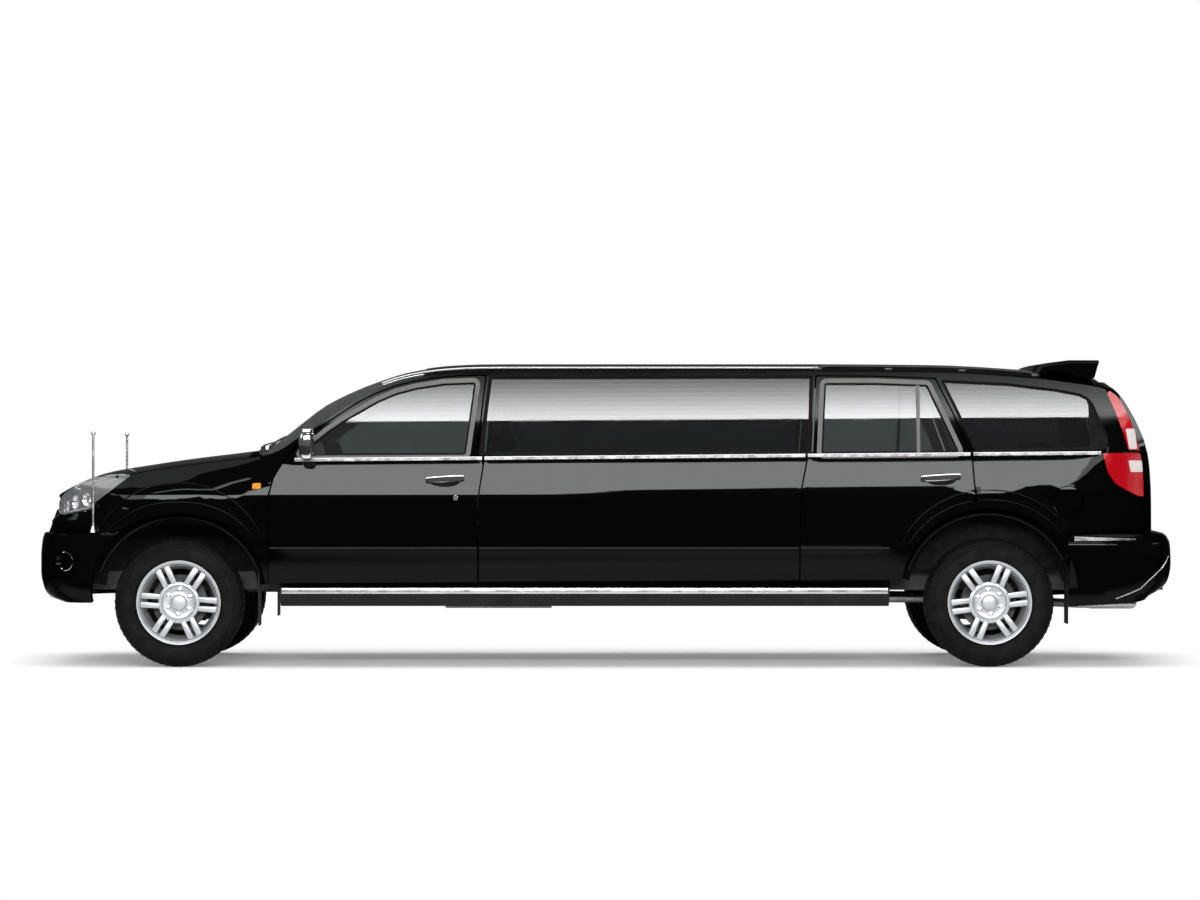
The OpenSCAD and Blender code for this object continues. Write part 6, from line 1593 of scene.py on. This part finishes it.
tree.links.new(share.outputs[0], mix.inputs["Fac"])
dimmer = tree.nodes.new("ShaderNodeMath")
dimmer.operation = "MULTIPLY_ADD"
dimmer.inputs[1].default_value = -0.97 * glow.inputs["Strength"].default_value
dimmer.inputs[2].default_value = glow.inputs["Strength"].default_value
tree.links.new(rays.outputs["Is Glossy Ray"], dimmer.inputs[0])
tree.links.new(dimmer.outputs[0], glow.inputs["Strength"])
tree.links.new(diffuse.outputs[0], mix.inputs[1])
tree.links.new(glow.outputs[0], mix.inputs[2])
tree.links.new(mix.outputs[0], output.inputs["Surface"])
floorMesh.materials.append(mat)

world = bpy.data.worlds.new("studioSky")
bpy.context.scene.world = world
world.use_nodes = True
tree = world.node_tree
tree.nodes["Background"].inputs["Color"].default_value = (1, 1, 1, 1)
rays = tree.nodes.new("ShaderNodeLightPath")
seen = tree.nodes.new("ShaderNodeMath")
seen.operation = "MAXIMUM"
both = tree.nodes.new("ShaderNodeMath")
both.operation = "MAXIMUM"
level = tree.nodes.new("ShaderNodeMapRange")
level.inputs["To Min"].default_value = 0.22
dimmer = tree.nodes.new("ShaderNodeMath")
dimmer.operation = "MULTIPLY_ADD"
dimmer.inputs[1].default_value = -0.13
tree.links.new(rays.outputs["Is Camera Ray"], both.inputs[0])
tree.links.new(rays.outputs["Is Transmission Ray"], both.inputs[1])
tree.links.new(both.outputs[0], level.inputs["Value"])
tree.links.new(rays.outputs["Is Glossy Ray"], dimmer.inputs[0])
tree.links.new(level.outputs["Result"], dimmer.inputs[2])
tree.links.new(dimmer.outputs[0], tree.nodes["Background"].inputs["Strength"])


def softbox(name, low, high, width, depth, level, turn=0, across=0):
    # a bright panel whose lower and upper edges stand at two heights, facing the car
    data = bpy.data.lights.new(name, "AREA")
    data.shape = "RECTANGLE"
    data.size, data.size_y = width, high - low
    data.energy = level * math.pi * width * (high - low)
    lamp = bpy.data.objects.new(name, data)
    bpy.context.scene.collection.objects.link(lamp)
    at = Matrix.Rotation(math.radians(turn), 3, "Z") @ Vector((across, -depth, (low + high) / 2))
    lamp.location = at
    aim = Vector((at.x, at.y, 0)).normalized() * -1
    lamp.rotation_euler = aim.to_track_quat("-Z", "Y").to_euler()
    return lamp


lampSet = [
    # name, lower edge, upper edge, width, distance, brightness, turned round the car, across
    ("nearWall", 5.3, 9.4, 13.5, 20, 19.0, 0, 0),
    ("nearWallFront", 5.3, 9.4, 6.0, 20, 8.0, 0, -9.75),
    ("nearWallRear", 5.3, 9.4, 6.0, 20, 8.0, 0, 9.75),
    ("farWall", 11.6, 16.6, 16.0, 20, 6.0, 180, 0),
    ("noseWall", 5.3, 9.4, 9.0, 20, 6.0, -90, 0),
    ("tailWall", 5.3, 9.4, 9.0, 20, 6.0, 90, 0),
]
topLight = {"height": 9.0, "length": 16.0, "width": 9.0, "level": 2.1}
data = bpy.data.lights.new("topSoftbox", "AREA")
data.shape = "RECTANGLE"
data.size, data.size_y = topLight["length"], topLight["width"]
data.energy = topLight["level"] * math.pi * topLight["length"] * topLight["width"]
lamp = bpy.data.objects.new("topSoftbox", data)
bpy.context.scene.collection.objects.link(lamp)
lamp.location = (0, 0, topLight["height"])
bandSet = {"low": 18.3, "high": 20.3, "strips": 10, "bright": 14.5, "dim": 3.5}
for k in range(bandSet["strips"]):
    step = (bandSet["high"] - bandSet["low"]) / bandSet["strips"]
    share = k / (bandSet["strips"] - 1)
    lampSet.append(("nearBand%d" % k, bandSet["low"] + k * step, bandSet["low"] + (k + 1) * step, 14.5, 20,
                    bandSet["bright"] * (1 - share) ** 1.4 + bandSet["dim"], 0, 0))
for entry in lampSet:
    softbox(*entry)
print("stage lit")
